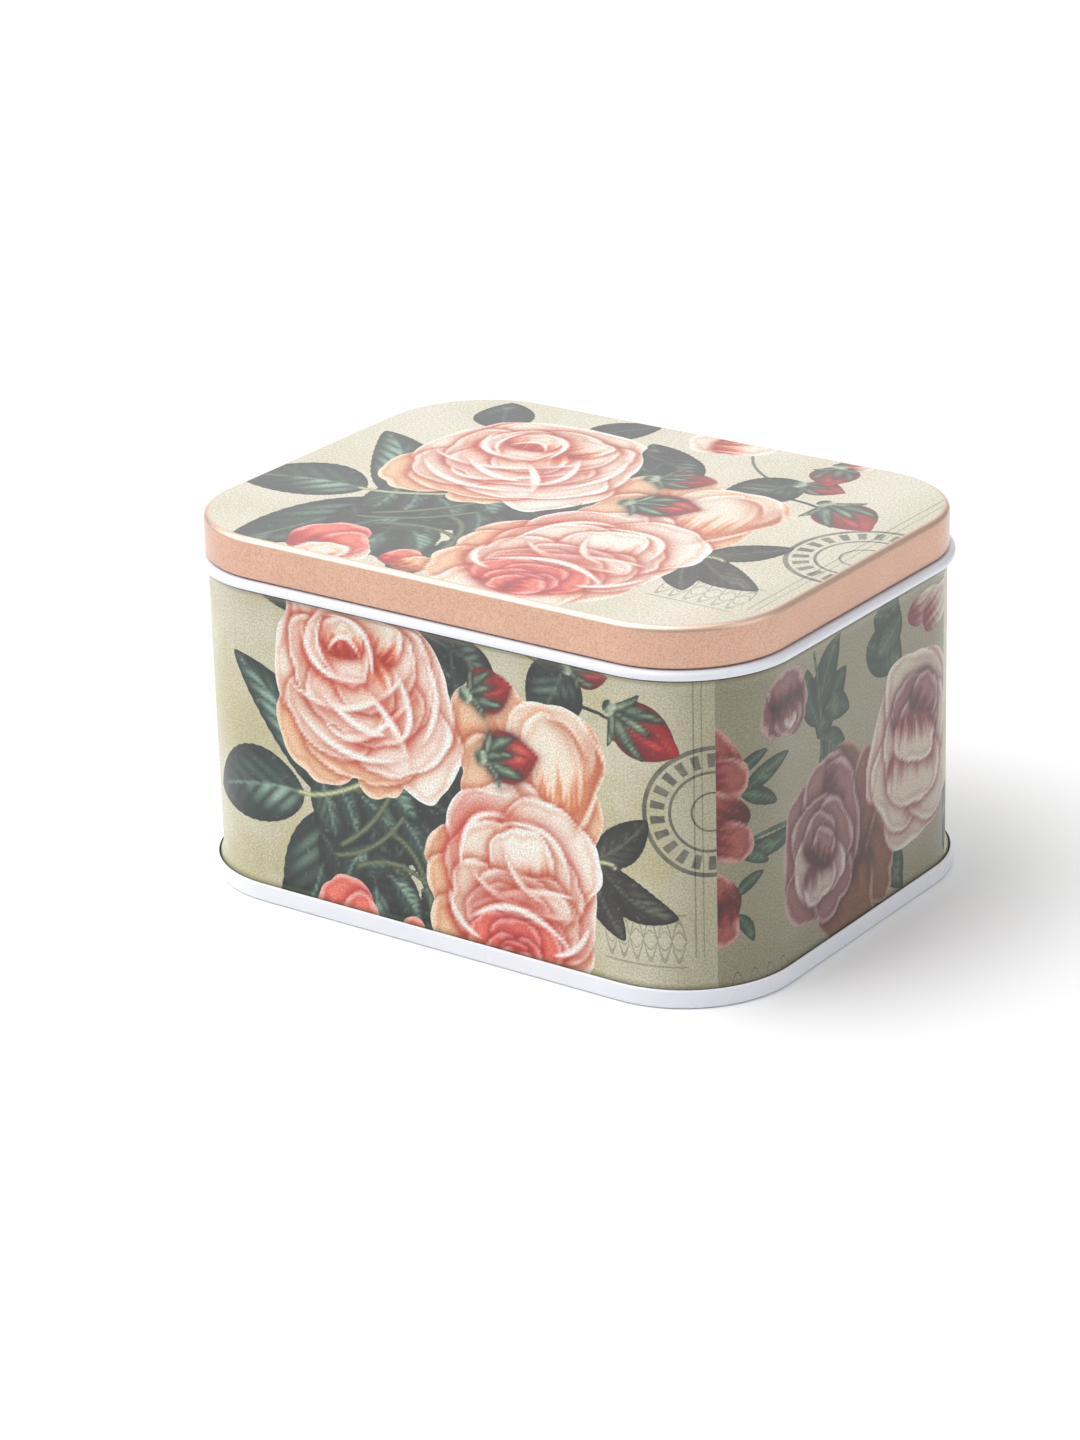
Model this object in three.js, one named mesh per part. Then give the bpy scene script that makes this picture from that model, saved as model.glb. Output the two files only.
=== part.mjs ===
// A rectangular tinplate box with rounded corners and a lift-off lid, in millimetres, +Z up.
// Origin: centre of the footprint, on the surface the box stands on. X runs along the long front, which
// faces -Y.
//
// Four pieces make it: a flared body wall, a neck ring whose round bead closes the wall's top edge, a
// bottom plate whose rim closes the wall's bottom edge, and the lid. Each is pressed or rolled from thin
// sheet, so each is drawn as the centreline of its sheet in a section plane, thickened, and carried round
// the same rounded rectangle. In the section plane n is the distance outwards from the body's outer face
// and z is the height above the ground.

import * as THREE from "three";

// ---- Overall sizes
const LENGTH = 105; // along X, over the bead
const WIDTH = 80; // along Y, over the bead
const HEIGHT = 60; // with the lid on
const CORNER_RADIUS = 17.5; // of the body's outer face, seen from above
const SHEET = 0.25; // thickness of the tinplate

// ---- Lid
const LID_DEPTH = 6.5; // from the top face down to the skirt's lower edge
const LID_EDGE_RADIUS = 1; // outside rounding between the top and the skirt
const LID_PROUD = 0.3; // how far the skirt stands out beyond the body's face
const LID_HEM_RADIUS = 0.2; // centreline radius of the fold at the skirt's lower edge
const LID_HEM_LEG = 0.9; // height of the part that is folded back up inside
const LID_PLAY = 0.35; // all round, between the folded edge and the neck
const LID_REST_GAP = 0.05; // between the lid's panel and the neck's top edge
const SKIRT_GAP = 0.2; // between the skirt's lower edge and the bead

// ---- Neck ring
const BEAD_RADIUS = 0.85; // outside
const BEAD_OVERHANG = 1.3; // how far the bead stands out beyond the body's face
const BEAD_CURL_END = -30; // degrees from the outermost point, where the curled sheet stops
const NECK_FOOT_RADIUS = 0.4; // centreline radius where the neck turns out into the bead
const NECK_CURL_RADIUS = 0.3; // centreline radius of the mouth's inward curl
const NECK_CURL_LEG = 0.4; // height of the curl's straight end

// ---- Body wall
const FLARE_HEIGHT = 2.3; // height over which the wall sweeps out, at the top and at the bottom
const TOP_FLANGE_ANGLE = -65; // degrees round the bead where the wall's top edge enters it
const FLANGE_RIM_GAP = 0.375; // between the bottom flange's outer face and the rim's inner face
const FLANGE_FOOT_GAP = 0.45; // between the bottom flange's lower edge and the rim's flat foot

// ---- Bottom plate
const RIM_HEIGHT = 3; // of the white rim
const RIM_OVERHANG = 1.15; // how far the rim stands out beyond the body's face
const RIM_HOOK_RADIUS = 0.2; // centreline radius of the rim's top edge, turned in against the wall
const RIM_FOOT_RADIUS = 0.45; // centreline radius of the rim's lower outside edge
const PANEL_RECESS = 1.5; // underside of the panel above the ground
const PANEL_BEND_RADIUS = 0.3; // centreline radius of the panel's two bends
const PANEL_WALL_GAP = 0.2; // between the body's inner face and the plate's upright

// ---- Fineness of the mesh
const CORNER_STEPS = 8; // facets in each rounded corner of the plan
const BEND_STEPS = 3; // half the facets in each bend of a section
const COINCIDENT = 1e-6; // points of a section closer together than this are one point

// ---- Sizes that follow
const HALF_SHEET = SHEET / 2;
const BODY_HALF_LENGTH = LENGTH / 2 - BEAD_OVERHANG;
const BODY_HALF_WIDTH = WIDTH / 2 - BEAD_OVERHANG;

const LID_SKIRT_N = LID_PROUD - HALF_SHEET;
const LID_SKIRT_FOOT = HEIGHT - LID_DEPTH;
const LID_HEM_N = LID_SKIRT_N - 2 * LID_HEM_RADIUS;

const NECK_N = LID_HEM_N - HALF_SHEET - LID_PLAY - HALF_SHEET;
const NECK_TOP = HEIGHT - SHEET - LID_REST_GAP;
const BEAD_TOP = LID_SKIRT_FOOT - SKIRT_GAP;
const BEAD_N = BEAD_OVERHANG - BEAD_RADIUS;
const BEAD_Z = BEAD_TOP - BEAD_RADIUS;
const BEAD_SHEET_RADIUS = BEAD_RADIUS - HALF_SHEET;

const WALL_N = -HALF_SHEET;
const TOP_FLANGE_N = BEAD_N + BEAD_SHEET_RADIUS * Math.cos(radians(TOP_FLANGE_ANGLE));
const TOP_FLANGE_Z = BEAD_Z + BEAD_SHEET_RADIUS * Math.sin(radians(TOP_FLANGE_ANGLE));
const RIM_N = RIM_OVERHANG - HALF_SHEET;
const BOTTOM_FLANGE_N = RIM_N - HALF_SHEET - FLANGE_RIM_GAP - HALF_SHEET;
const BOTTOM_FLANGE_FOOT = SHEET + FLANGE_FOOT_GAP;

function radians(degrees) {
  return THREE.MathUtils.degToRad(degrees);
}

// ---- Sheet metal

// Points round the body's outer face, seen from above and anticlockwise, each with its outward direction.
function planPoints() {
  const cornerX = BODY_HALF_LENGTH - CORNER_RADIUS;
  const cornerY = BODY_HALF_WIDTH - CORNER_RADIUS;
  const quarters = [
    [1, 1],
    [-1, 1],
    [-1, -1],
    [1, -1],
  ];
  return quarters.flatMap(([signX, signY], quarter) =>
    Array.from({ length: CORNER_STEPS + 1 }, (_, step) => {
      const turn = ((quarter + step / CORNER_STEPS) * Math.PI) / 2;
      const out = new THREE.Vector2(Math.cos(turn), Math.sin(turn));
      const face = new THREE.Vector2(signX * cornerX, signY * cornerY).addScaledVector(out, CORNER_RADIUS);
      return { face, out };
    }),
  );
}

// One face of the sheet: the centreline moved sideways, with mitred corners.
function offsetLine(points, distance) {
  const normals = points.slice(1).map((point, i) => {
    const along = point.clone().sub(points[i]).normalize();
    return new THREE.Vector2(-along.y, along.x);
  });
  return points.map((point, i) => {
    const before = normals[Math.max(i - 1, 0)];
    const after = normals[Math.min(i, normals.length - 1)];
    const mitre = before.clone().add(after).divideScalar(1 + before.dot(after));
    return point.clone().addScaledVector(mitre, distance);
  });
}

// The outline of a sheet along a centreline: one face, then back along the other, anticlockwise.
function sheetOutline(centreline) {
  const points = centreline
    .getPoints(BEND_STEPS)
    .filter((point, i, all) => i === 0 || point.distanceTo(all[i - 1]) > COINCIDENT);
  const left = offsetLine(points, HALF_SHEET);
  const right = offsetLine(points, -HALF_SHEET);
  const outline = [...right, ...left.reverse()];
  return THREE.ShapeUtils.isClockWise(outline) ? outline.reverse() : outline;
}

// Carries a sheet section round the plan. A ring's section closes on itself; a pan's section starts and
// ends at the edge of its flat panel, and two fans of triangles close the panel's faces.
function sweepSheet(centreline, { pan }) {
  const plan = planPoints();
  const outline = sheetOutline(centreline);
  const around = plan.length;
  const positions = outline.flatMap(({ x: n, y: z }) =>
    plan.flatMap(({ face, out }) => [face.x + n * out.x, face.y + n * out.y, z]),
  );
  const triangles = [];
  const bands = pan ? outline.length - 1 : outline.length;
  for (let j = 0; j < bands; j += 1) {
    const lower = j * around;
    const upper = ((j + 1) % outline.length) * around;
    for (let i = 0; i < around; i += 1) {
      const next = (i + 1) % around;
      triangles.push(lower + i, lower + next, upper + next);
      triangles.push(lower + i, upper + next, upper + i);
    }
  }
  if (pan) {
    const underside = positions.length / 3;
    const topside = underside + 1;
    const lastBand = (outline.length - 1) * around;
    positions.push(0, 0, outline[0].y, 0, 0, outline[outline.length - 1].y);
    for (let i = 0; i < around; i += 1) {
      const next = (i + 1) % around;
      triangles.push(underside, next, i);
      triangles.push(topside, lastBand + i, lastBand + next);
    }
  }
  const geometry = new THREE.BufferGeometry();
  geometry.setAttribute("position", new THREE.Float32BufferAttribute(positions, 3));
  geometry.setIndex(triangles);
  geometry.computeVertexNormals();
  return geometry;
}

// Adds a bend to a centreline, clockwise or anticlockwise, between two angles in degrees.
function bend(path, n, z, radius, from, to) {
  path.absarc(n, z, radius, radians(from), radians(to), to < from);
}

// ---- The pieces

// The printed wall. It is straight over most of its height and sweeps out into a flange at each end: the
// top one reaches into the neck ring's bead, the bottom one stands inside the bottom plate's rim.
function bodyWallSection() {
  const path = new THREE.Path();
  const bottomOut = BOTTOM_FLANGE_N - WALL_N;
  const bottomTurn = 2 * Math.atan2(bottomOut, FLARE_HEIGHT);
  const bottomRadius = FLARE_HEIGHT / Math.sin(bottomTurn);
  const topOut = TOP_FLANGE_N - WALL_N;
  const topTurn = 2 * Math.atan2(topOut, FLARE_HEIGHT);
  const topRadius = FLARE_HEIGHT / Math.sin(topTurn);
  path.moveTo(BOTTOM_FLANGE_N, BOTTOM_FLANGE_FOOT);
  path.lineTo(BOTTOM_FLANGE_N, RIM_HEIGHT);
  path.absarc(
    WALL_N + bottomRadius,
    RIM_HEIGHT + FLARE_HEIGHT,
    bottomRadius,
    Math.PI + bottomTurn,
    Math.PI,
    true,
  );
  path.absarc(
    WALL_N + topRadius,
    TOP_FLANGE_Z - FLARE_HEIGHT,
    topRadius,
    Math.PI,
    Math.PI - topTurn,
    true,
  );
  return path;
}

// The white ring. From the mouth's inward curl it runs down as the neck that the lid slides over, turns
// out over the wall's top edge, and curls round outside that edge as the bead.
function neckRingSection() {
  const path = new THREE.Path();
  const curlN = NECK_N - NECK_CURL_RADIUS;
  const curlZ = NECK_TOP - HALF_SHEET - NECK_CURL_RADIUS;
  const ledge = BEAD_Z + BEAD_SHEET_RADIUS;
  path.moveTo(curlN - NECK_CURL_RADIUS, curlZ - NECK_CURL_LEG);
  bend(path, curlN, curlZ, NECK_CURL_RADIUS, 180, 0);
  bend(path, NECK_N + NECK_FOOT_RADIUS, ledge + NECK_FOOT_RADIUS, NECK_FOOT_RADIUS, 180, 270);
  bend(path, BEAD_N, BEAD_Z, BEAD_SHEET_RADIUS, 90, BEAD_CURL_END);
  return path;
}

// The bottom. Its panel is raised clear of the ground, an upright inside the wall leads down to the flat
// ring that the box stands on, and the rim wraps the wall's bottom flange from outside.
function bottomPlateSection() {
  const path = new THREE.Path();
  const uprightN = -SHEET - PANEL_WALL_GAP - HALF_SHEET;
  const panelZ = PANEL_RECESS + HALF_SHEET;
  const bendIn = uprightN - PANEL_BEND_RADIUS;
  const bendOut = uprightN + PANEL_BEND_RADIUS;
  const hookZ = RIM_HEIGHT - HALF_SHEET - RIM_HOOK_RADIUS;
  path.moveTo(bendIn - PANEL_BEND_RADIUS, panelZ);
  bend(path, bendIn, panelZ - PANEL_BEND_RADIUS, PANEL_BEND_RADIUS, 90, 0);
  bend(path, bendOut, HALF_SHEET + PANEL_BEND_RADIUS, PANEL_BEND_RADIUS, 180, 270);
  bend(path, RIM_N - RIM_FOOT_RADIUS, HALF_SHEET + RIM_FOOT_RADIUS, RIM_FOOT_RADIUS, 270, 360);
  bend(path, RIM_N - RIM_HOOK_RADIUS, hookZ, RIM_HOOK_RADIUS, 0, 90);
  return path;
}

// The lid: a flat panel, a rounded edge, and a skirt whose lower edge is folded back up inside.
function lidSection() {
  const path = new THREE.Path();
  const edge = LID_EDGE_RADIUS - HALF_SHEET;
  const panelZ = HEIGHT - HALF_SHEET;
  const hemZ = LID_SKIRT_FOOT + HALF_SHEET + LID_HEM_RADIUS;
  path.moveTo(LID_SKIRT_N - 2 * edge, panelZ);
  bend(path, LID_SKIRT_N - edge, panelZ - edge, edge, 90, 0);
  bend(path, LID_SKIRT_N - LID_HEM_RADIUS, hemZ, LID_HEM_RADIUS, 0, -180);
  path.lineTo(LID_HEM_N, hemZ + LID_HEM_LEG);
  return path;
}

function piece(name, geometry, { color, roughness, metalness }) {
  const mesh = new THREE.Mesh(geometry, new THREE.MeshStandardMaterial({ color, roughness, metalness }));
  mesh.name = name;
  return mesh;
}

const printedPaperGreen = { color: 0xcfccb4, roughness: 0.45, metalness: 0 };
const whiteEnamel = { color: 0xf2f3f8, roughness: 0.25, metalness: 0 };
const copperLacquer = { color: 0xdcae92, roughness: 0.4, metalness: 0.3 };

const tin = new THREE.Group();
tin.add(
  piece("body_wall", sweepSheet(bodyWallSection(), { pan: false }), printedPaperGreen),
  piece("neck_ring", sweepSheet(neckRingSection(), { pan: false }), whiteEnamel),
  piece("bottom_plate", sweepSheet(bottomPlateSection(), { pan: true }), whiteEnamel),
  piece("lid", sweepSheet(lidSection(), { pan: true }), copperLacquer),
);

export default tin;
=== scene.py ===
# %% [markdown]
# # A rose-printed tin box with a lift-off lid
# The box is four pressings: a printed wall, a white neck ring with a rolled bead, a white bottom plate
# and a lid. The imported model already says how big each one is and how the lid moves, so this lesson keeps
# those sizes and makes the surfaces again, fine enough to carry a printed picture.
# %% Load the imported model
import math

import bpy
import numpy as np
from mathutils import Matrix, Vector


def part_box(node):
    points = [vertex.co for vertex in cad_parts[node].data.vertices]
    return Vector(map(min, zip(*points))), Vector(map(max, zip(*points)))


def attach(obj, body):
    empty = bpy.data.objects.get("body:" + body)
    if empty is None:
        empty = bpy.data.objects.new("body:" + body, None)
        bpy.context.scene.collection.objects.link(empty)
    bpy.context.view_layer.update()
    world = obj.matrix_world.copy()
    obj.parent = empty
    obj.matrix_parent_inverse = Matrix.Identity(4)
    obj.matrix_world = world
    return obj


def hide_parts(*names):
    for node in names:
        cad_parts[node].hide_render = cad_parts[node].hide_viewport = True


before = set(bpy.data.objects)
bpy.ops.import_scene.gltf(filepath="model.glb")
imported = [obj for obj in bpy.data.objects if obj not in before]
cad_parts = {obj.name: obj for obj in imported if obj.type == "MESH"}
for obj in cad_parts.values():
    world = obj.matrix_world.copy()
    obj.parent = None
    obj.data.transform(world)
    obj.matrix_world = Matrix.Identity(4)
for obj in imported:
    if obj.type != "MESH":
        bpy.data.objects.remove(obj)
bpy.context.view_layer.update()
MM = 0.001


def in_mm(corners):
    """The lowest and highest corner of a box, from metres to millimetres."""
    return [np.array(corner) / MM for corner in corners]


wall_low, _ = in_mm(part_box("body_wall"))
_, neck_high = in_mm(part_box("neck_ring"))
_, foot_high = in_mm(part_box("bottom_plate"))
lid_low, lid_high = in_mm(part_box("lid"))

# %% [markdown]
# ## The plan
# Seen from above the box is a rectangle with round corners. Every piece follows that outline, so it is
# written once, as a point and an outward direction for each distance round the wall. The sizes that
# follow are in millimetres.
# %% Plan of the wall
SHEET = 0.25  # thickness of the tinplate
CORNER = 17.5  # radius of the wall's outer face, seen from above
BEAD_OVERHANG = 1.3  # how far the bead stands out beyond the wall
BEAD_RADIUS = 0.85  # of the bead's outer face
SKIRT_GAP = 0.2  # between the lid's lower edge and the bead
half_length = neck_high[0] - BEAD_OVERHANG
half_width = neck_high[1] - BEAD_OVERHANG
straight_x = half_length - CORNER
straight_y = half_width - CORNER
arc_length = CORNER * math.pi / 2
half_turn = 2 * (straight_x + straight_y + arc_length)


def plan(u):
    """The point of the wall's outer face and its outward direction, at a distance u round the wall from
    the middle of the front, positive towards +X. Up to half a turn either way is a straight, a corner and
    the half of the side; what is further round is the same turned by 180 degrees."""
    u = np.asarray(u, float)
    quarter = half_turn / 2
    turned = np.abs(u) > quarter
    v = np.where(turned, u - np.sign(u) * half_turn, u)
    side = np.where(v < 0, -1.0, 1.0)
    v = np.abs(v)
    into = np.clip((v - straight_x) / arc_length, 0, 1) * math.pi / 2
    out = np.stack([np.sin(into), -np.cos(into)], -1)
    along = np.clip(v - straight_x - arc_length, 0, None)
    face = np.stack([np.minimum(v, straight_x), along - straight_y], -1) + CORNER * out
    flip = np.stack([side, np.ones_like(side)], -1) * np.where(turned, -1, 1)[..., None]
    return face * flip, out * flip


print(f"the wall measures {2 * half_turn:.1f} mm round")

# %% [markdown]
# ## Studio
# The box stands on a plain white floor. A wide soft light to the left of the camera is the main light, a
# weak one fills from the right, and a pale sky keeps the shadows open. The camera is a long lens, so the
# box shows almost no perspective. Anything that looks at the box is placed by two angles and a distance.
# %% Camera
CAMERA_TURN, CAMERA_RISE, CAMERA_ROLL = map(math.radians, (35.32, 21.58, 1.40))
CAMERA_DISTANCE = 0.6765
CAMERA_LENS = 107.9
VIEW_SHIFT = (-0.0276, -0.0245)
MIDDLE = np.array([0, 0, 0.030])


def facing_box(turn, rise):
    """Right, up and backwards of a thing that looks at the box: backwards points from the box to the
    thing, turned round Z and raised above the floor, right is level, and up is square to both."""
    back = np.array([math.sin(turn) * math.cos(rise), -math.cos(turn) * math.cos(rise), math.sin(rise)])
    right = np.array([math.cos(turn), math.sin(turn), 0])
    return right, np.cross(back, right), back


def place(thing, axes, position):
    """Puts a camera or light at a position, with its own X, Y and Z along three given directions."""
    rows = [[*row, at] for row, at in zip(np.transpose(axes), position)]
    thing.matrix_world = Matrix(rows + [[0, 0, 0, 1]])


camera = bpy.data.objects.new("camera", bpy.data.cameras.new("camera"))
camera.data.lens = CAMERA_LENS
camera.data.shift_x, camera.data.shift_y = VIEW_SHIFT
camera.data.clip_start, camera.data.clip_end = 0.05, 50
bpy.context.collection.objects.link(camera)
right, up, back = facing_box(CAMERA_TURN, CAMERA_RISE)
level, tilt = math.cos(CAMERA_ROLL), math.sin(CAMERA_ROLL)
place(camera, (right * level - up * tilt, right * tilt + up * level, back), MIDDLE + CAMERA_DISTANCE * back)
bpy.context.scene.camera = camera
bpy.context.scene.view_settings.view_transform = "Standard"
print("camera stands", [round(float(v), 3) for v in camera.matrix_world.translation])


# %% Lights and sky
def soft_light(name, turn, rise, distance, size, power):
    """A square lamp that looks at the box from a turn round Z and a rise above the floor, in degrees."""
    lamp = bpy.data.objects.new(name, bpy.data.lights.new(name, "AREA"))
    lamp.data.shape, lamp.data.size, lamp.data.energy = "SQUARE", size, power
    bpy.context.collection.objects.link(lamp)
    right, up, back = facing_box(math.radians(turn), math.radians(rise))
    place(lamp, (right, up, back), MIDDLE + distance * back)
    print(f"{name}: {power} W over {size} m, {distance} m away")


soft_light("main_light", -52, 50, 1.6, 1.9, 32)
soft_light("top_light", 0, 85, 1.6, 1.6, 9)
soft_light("back_light", 215, 28, 2.2, 2.4, 12)
soft_light("fill_light", 100, 25, 2.0, 1.4, 8)
world = bpy.data.worlds.new("studio")
world.use_nodes = True
sky = world.node_tree.nodes["Background"]
sky.inputs["Color"].default_value = (0.97, 0.98, 1.0, 1)
sky.inputs["Strength"].default_value = 0.30
bpy.context.scene.world = world

# %% [markdown]
# ## Writing shader sums as Python
# A material is a graph of nodes. A small class wraps one socket, so that a sum on two sockets adds the
# Math node that works it out, and one method makes every other node.
# %% Wires


class Wire:
    """One output socket of a shader; + - * / % ** and abs on it add the Math nodes that do the sum."""

    def __init__(self, shader, socket):
        self.shader, self.socket = shader, socket

    def __add__(self, other):
        return self.shader.math("ADD", self, other)

    def __sub__(self, other):
        return self.shader.math("SUBTRACT", self, other)

    def __rsub__(self, other):
        return self.shader.math("SUBTRACT", other, self)

    def __mul__(self, other):
        return self.shader.math("MULTIPLY", self, other)

    def __truediv__(self, other):
        return self.shader.math("DIVIDE", self, other)

    def __mod__(self, other):
        return self.shader.math("FLOORED_MODULO", self, other)

    def __pow__(self, other):
        return self.shader.math("POWER", self, other)

    def __abs__(self):
        return self.shader.math("ABSOLUTE", self)

    __radd__, __rmul__ = __add__, __mul__


# %% Shaders
class Shader:
    """A material whose nodes come from one method, node."""

    def __init__(self, name):
        self.material = bpy.data.materials.new(name)
        self.material.use_nodes = True
        self.tree = self.material.node_tree
        self.tree.nodes.clear()

    def node(self, kind, settings=None, sockets=None, output=0):
        """Adds a node, sets its settings, fills or links its sockets and gives one of its outputs."""
        made = self.tree.nodes.new(kind)
        for setting, value in (settings or {}).items():
            setattr(made, setting, value)
        for name, value in (sockets or {}).items():
            if isinstance(value, Wire):
                self.tree.links.new(value.socket, made.inputs[name])
            else:
                made.inputs[name].default_value = value
        return None if output is None else Wire(self, made.outputs[output])

    def math(self, operation, *values):
        """The result of one Math operation on wires and numbers."""
        return self.node("ShaderNodeMath", {"operation": operation}, dict(enumerate(values)))

    def object_mm(self):
        """Where the point is on the box, in millimetres."""
        place_on = self.node("ShaderNodeTexCoord", output="Object")
        return self.node("ShaderNodeVectorMath", {"operation": "SCALE"}, {0: place_on, "Scale": 1 / MM})

    def stretch(self, vector, factors):
        """A vector with each of its three numbers multiplied by its own factor."""
        return self.node("ShaderNodeVectorMath", {"operation": "MULTIPLY"}, {0: vector, 1: factors})

    def parts(self, vector):
        """The three numbers of a vector."""
        first = self.node("ShaderNodeSeparateXYZ", None, {0: vector})
        return [Wire(self, socket) for socket in first.socket.node.outputs]

    def noise(self, vector, per_mm, detail=2.0, roughness=0.5):
        """Cloudy noise with so many blobs to the millimetre, about 0.5 on average."""
        sockets = {"Vector": vector, "Scale": per_mm, "Detail": detail, "Roughness": roughness}
        return self.node("ShaderNodeTexNoise", None, sockets)

    def smooth(self, value, low, high, first=0.0, second=1.0):
        """An S-shaped step from first to second as the value goes from low to high."""
        sockets = {"Value": value, "From Min": low, "From Max": high, "To Min": first, "To Max": second}
        return self.node("ShaderNodeMapRange", {"interpolation_type": "SMOOTHSTEP"}, sockets)

    def mix(self, first, second, amount, blend="MIX"):
        """Goes from the first colour to the second by the amount."""
        settings = {"data_type": "RGBA", "blend_type": blend}
        return self.node("ShaderNodeMix", settings, {0: amount, 6: first, 7: second}, 2)

    def bump(self, height, strength, distance):
        """A normal tilted by a height field; distance is how tall a height of 1 is, in millimetres."""
        sockets = {"Height": height, "Strength": strength, "Distance": distance * MM}
        return self.node("ShaderNodeBump", None, sockets)

    def finish(self, sockets):
        """Ends the material with a Principled surface."""
        surface = self.node("ShaderNodeBsdfPrincipled", None, sockets)
        self.node("ShaderNodeOutputMaterial", None, {"Surface": surface}, None)
        print(f"{self.material.name}: a material of {len(self.tree.nodes)} nodes")
        return self.material


# %% Screen colours
def linear(screen):
    """Screen values from 0 to 1 as the light that shaders use: a straight line near black, then a power."""
    return np.where(screen <= 0.04045, screen / 12.92, ((screen + 0.055) / 1.055) ** 2.4)


def rgb(red, green, blue):
    """A colour given as 0 to 255 on a screen, turned into the linear light that shaders use."""
    return (*linear(np.array([red, green, blue]) / 255).tolist(), 1.0)


print("half grey on a screen is", round(rgb(128, 128, 128)[0], 3), "of the light of white")

# %% [markdown]
# ## White enamel and bare tinplate
# The neck ring and the bottom plate are coated with a hard white gloss enamel. Baked enamel is never
# quite flat: it is clouded very faintly, has a little orange peel, and picks up grey scuffs. Inside the
# box the sheet is left as plain tinplate, which shows long rolling streaks. Both could be plain colours,
# but noise in the colour, the roughness and the bump gives them the small unevenness of coated metal.
# %% White enamel and tinplate


def white_enamel():
    """White gloss with faint clouds, orange peel, and scuffs where a fine noise is high."""
    shader = Shader("white_enamel")
    at = shader.object_mm()
    cloud = shader.noise(at, 0.12, 3)
    scuff = shader.smooth(shader.noise(at, 0.9, 5, 0.7), 0.66, 0.78)
    color = shader.mix(rgb(232, 234, 241), rgb(224, 226, 234), cloud)
    color = shader.mix(color, rgb(196, 197, 203), scuff * 0.35)
    peel = shader.noise(at, 2.4, 2)
    return shader.finish({
        "Base Color": color,
        "Roughness": shader.smooth(cloud, 0.2, 0.8, 0.20, 0.30) + scuff * 0.25,
        "Normal": shader.bump(peel, 0.35, 0.02),
        "Coat Weight": 0.25,
        "Coat Roughness": 0.08,
    })


def tinplate():
    """Plain tinplate: silvery metal with streaks, a noise drawn out along X, and a soft bloom of oxide."""
    shader = Shader("tinplate")
    at = shader.object_mm()
    streak = shader.noise(shader.stretch(at, (0.06, 2.5, 2.5)), 1.0, 4, 0.7)
    bloom = shader.noise(at, 0.10, 4, 0.6)
    color = shader.mix((0.72, 0.71, 0.69, 1), (0.56, 0.56, 0.56, 1), bloom)
    return shader.finish({
        "Base Color": color,
        "Metallic": 1.0,
        "Roughness": shader.smooth(streak, 0.3, 0.7, 0.30, 0.42) + bloom * 0.12,
        "Normal": shader.bump(streak, 0.3, 0.01),
    })


enamel, bare = white_enamel(), tinplate()

# %% [markdown]
# ## Painting the picture
# The box is printed with a watercolour of roses on old paper. A picture this loose is made of a few kinds
# of brush shape: a petal, a leaf, a stalk. Each is a formula for how deep a point lies inside the shape
# and what colour it has there, worked out for all the points of the metal at once. Paint goes into two
# layers, leaves and flowers, and the material cuts each layer crisply where its depth passes zero, so the
# outlines stay finer than the mesh.
# %% Paints


def ink(red, green, blue):
    """A colour given as 0 to 255 on a screen, kept in screen values while it is painted with."""
    return np.array([red, green, blue]) / 255


# each paint has three tones, deep, middle and pale, and several share one cream
CREAM = ink(238, 229, 214)
BLUSH = ink(180, 66, 38), ink(234, 192, 166), CREAM
IVORY = ink(176, 72, 46), ink(236, 206, 184), ink(242, 236, 226)
CORAL = ink(168, 44, 24), ink(230, 148, 116), CREAM
PEACH = ink(164, 66, 34), ink(216, 138, 96), ink(234, 200, 168)
SCARLET = ink(150, 26, 38), ink(198, 46, 52), ink(230, 118, 108)
LEAF = ink(46, 60, 58), ink(88, 112, 102), ink(156, 182, 168)
SHADE = ink(42, 50, 50), ink(68, 80, 76), ink(122, 138, 128)
RUDDY = ink(166, 28, 34), ink(204, 60, 58), ink(234, 136, 120)
FLAME = ink(182, 34, 16), ink(220, 90, 64), CREAM
SEPAL = ink(58, 74, 66), ink(112, 136, 118), ink(176, 192, 164)
MOSS = ink(62, 72, 58), ink(108, 118, 94), ink(176, 180, 146)
CHARCOAL = ink(46, 46, 44), ink(78, 80, 74), ink(132, 132, 118)
SPRIG = ink(62, 82, 68), ink(92, 114, 96), ink(128, 148, 126)
MAROON = ink(88, 46, 52), ink(128, 78, 80), ink(164, 124, 122)
WINE = ink(92, 30, 36), ink(142, 52, 54), ink(178, 104, 96)
FADED = ink(124, 80, 84), ink(166, 134, 132), ink(204, 190, 182)
RUSSET = ink(96, 62, 52), ink(128, 88, 72), ink(152, 112, 92)
BLUSHED = ink(140, 68, 74), ink(198, 168, 158), ink(220, 210, 196)
print("a leaf's darkest and palest tones:", *[(tone * 255).round().tolist() for tone in (LEAF[0], LEAF[2])])

# %% Layers of paint
UNPAINTED = -9.0  # the depth of a point far outside every shape


def step(low, high, value):
    """An S-shaped step from 0 to 1 as the value goes from low to high."""
    t = np.clip((value - low) / (high - low), 0, 1)
    return t * t * (3 - 2 * t)


def blend(first, second, amount):
    """Goes from the first colour to the second by an amount at each point."""
    return first + (second - first) * np.asarray(amount)[..., None]


def wander(seed, turn, pitch):
    """A smooth wave of three sines with seeded phases, between about -1 and 1."""
    phase = np.random.default_rng(seed).uniform(0, 2 * np.pi, 3)
    return (np.sin(pitch * turn + phase[0]) + np.sin(1.7 * pitch * turn + phase[1]) / 2
            + np.sin(2.9 * pitch * turn + phase[2]) / 3) / 1.8


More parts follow.
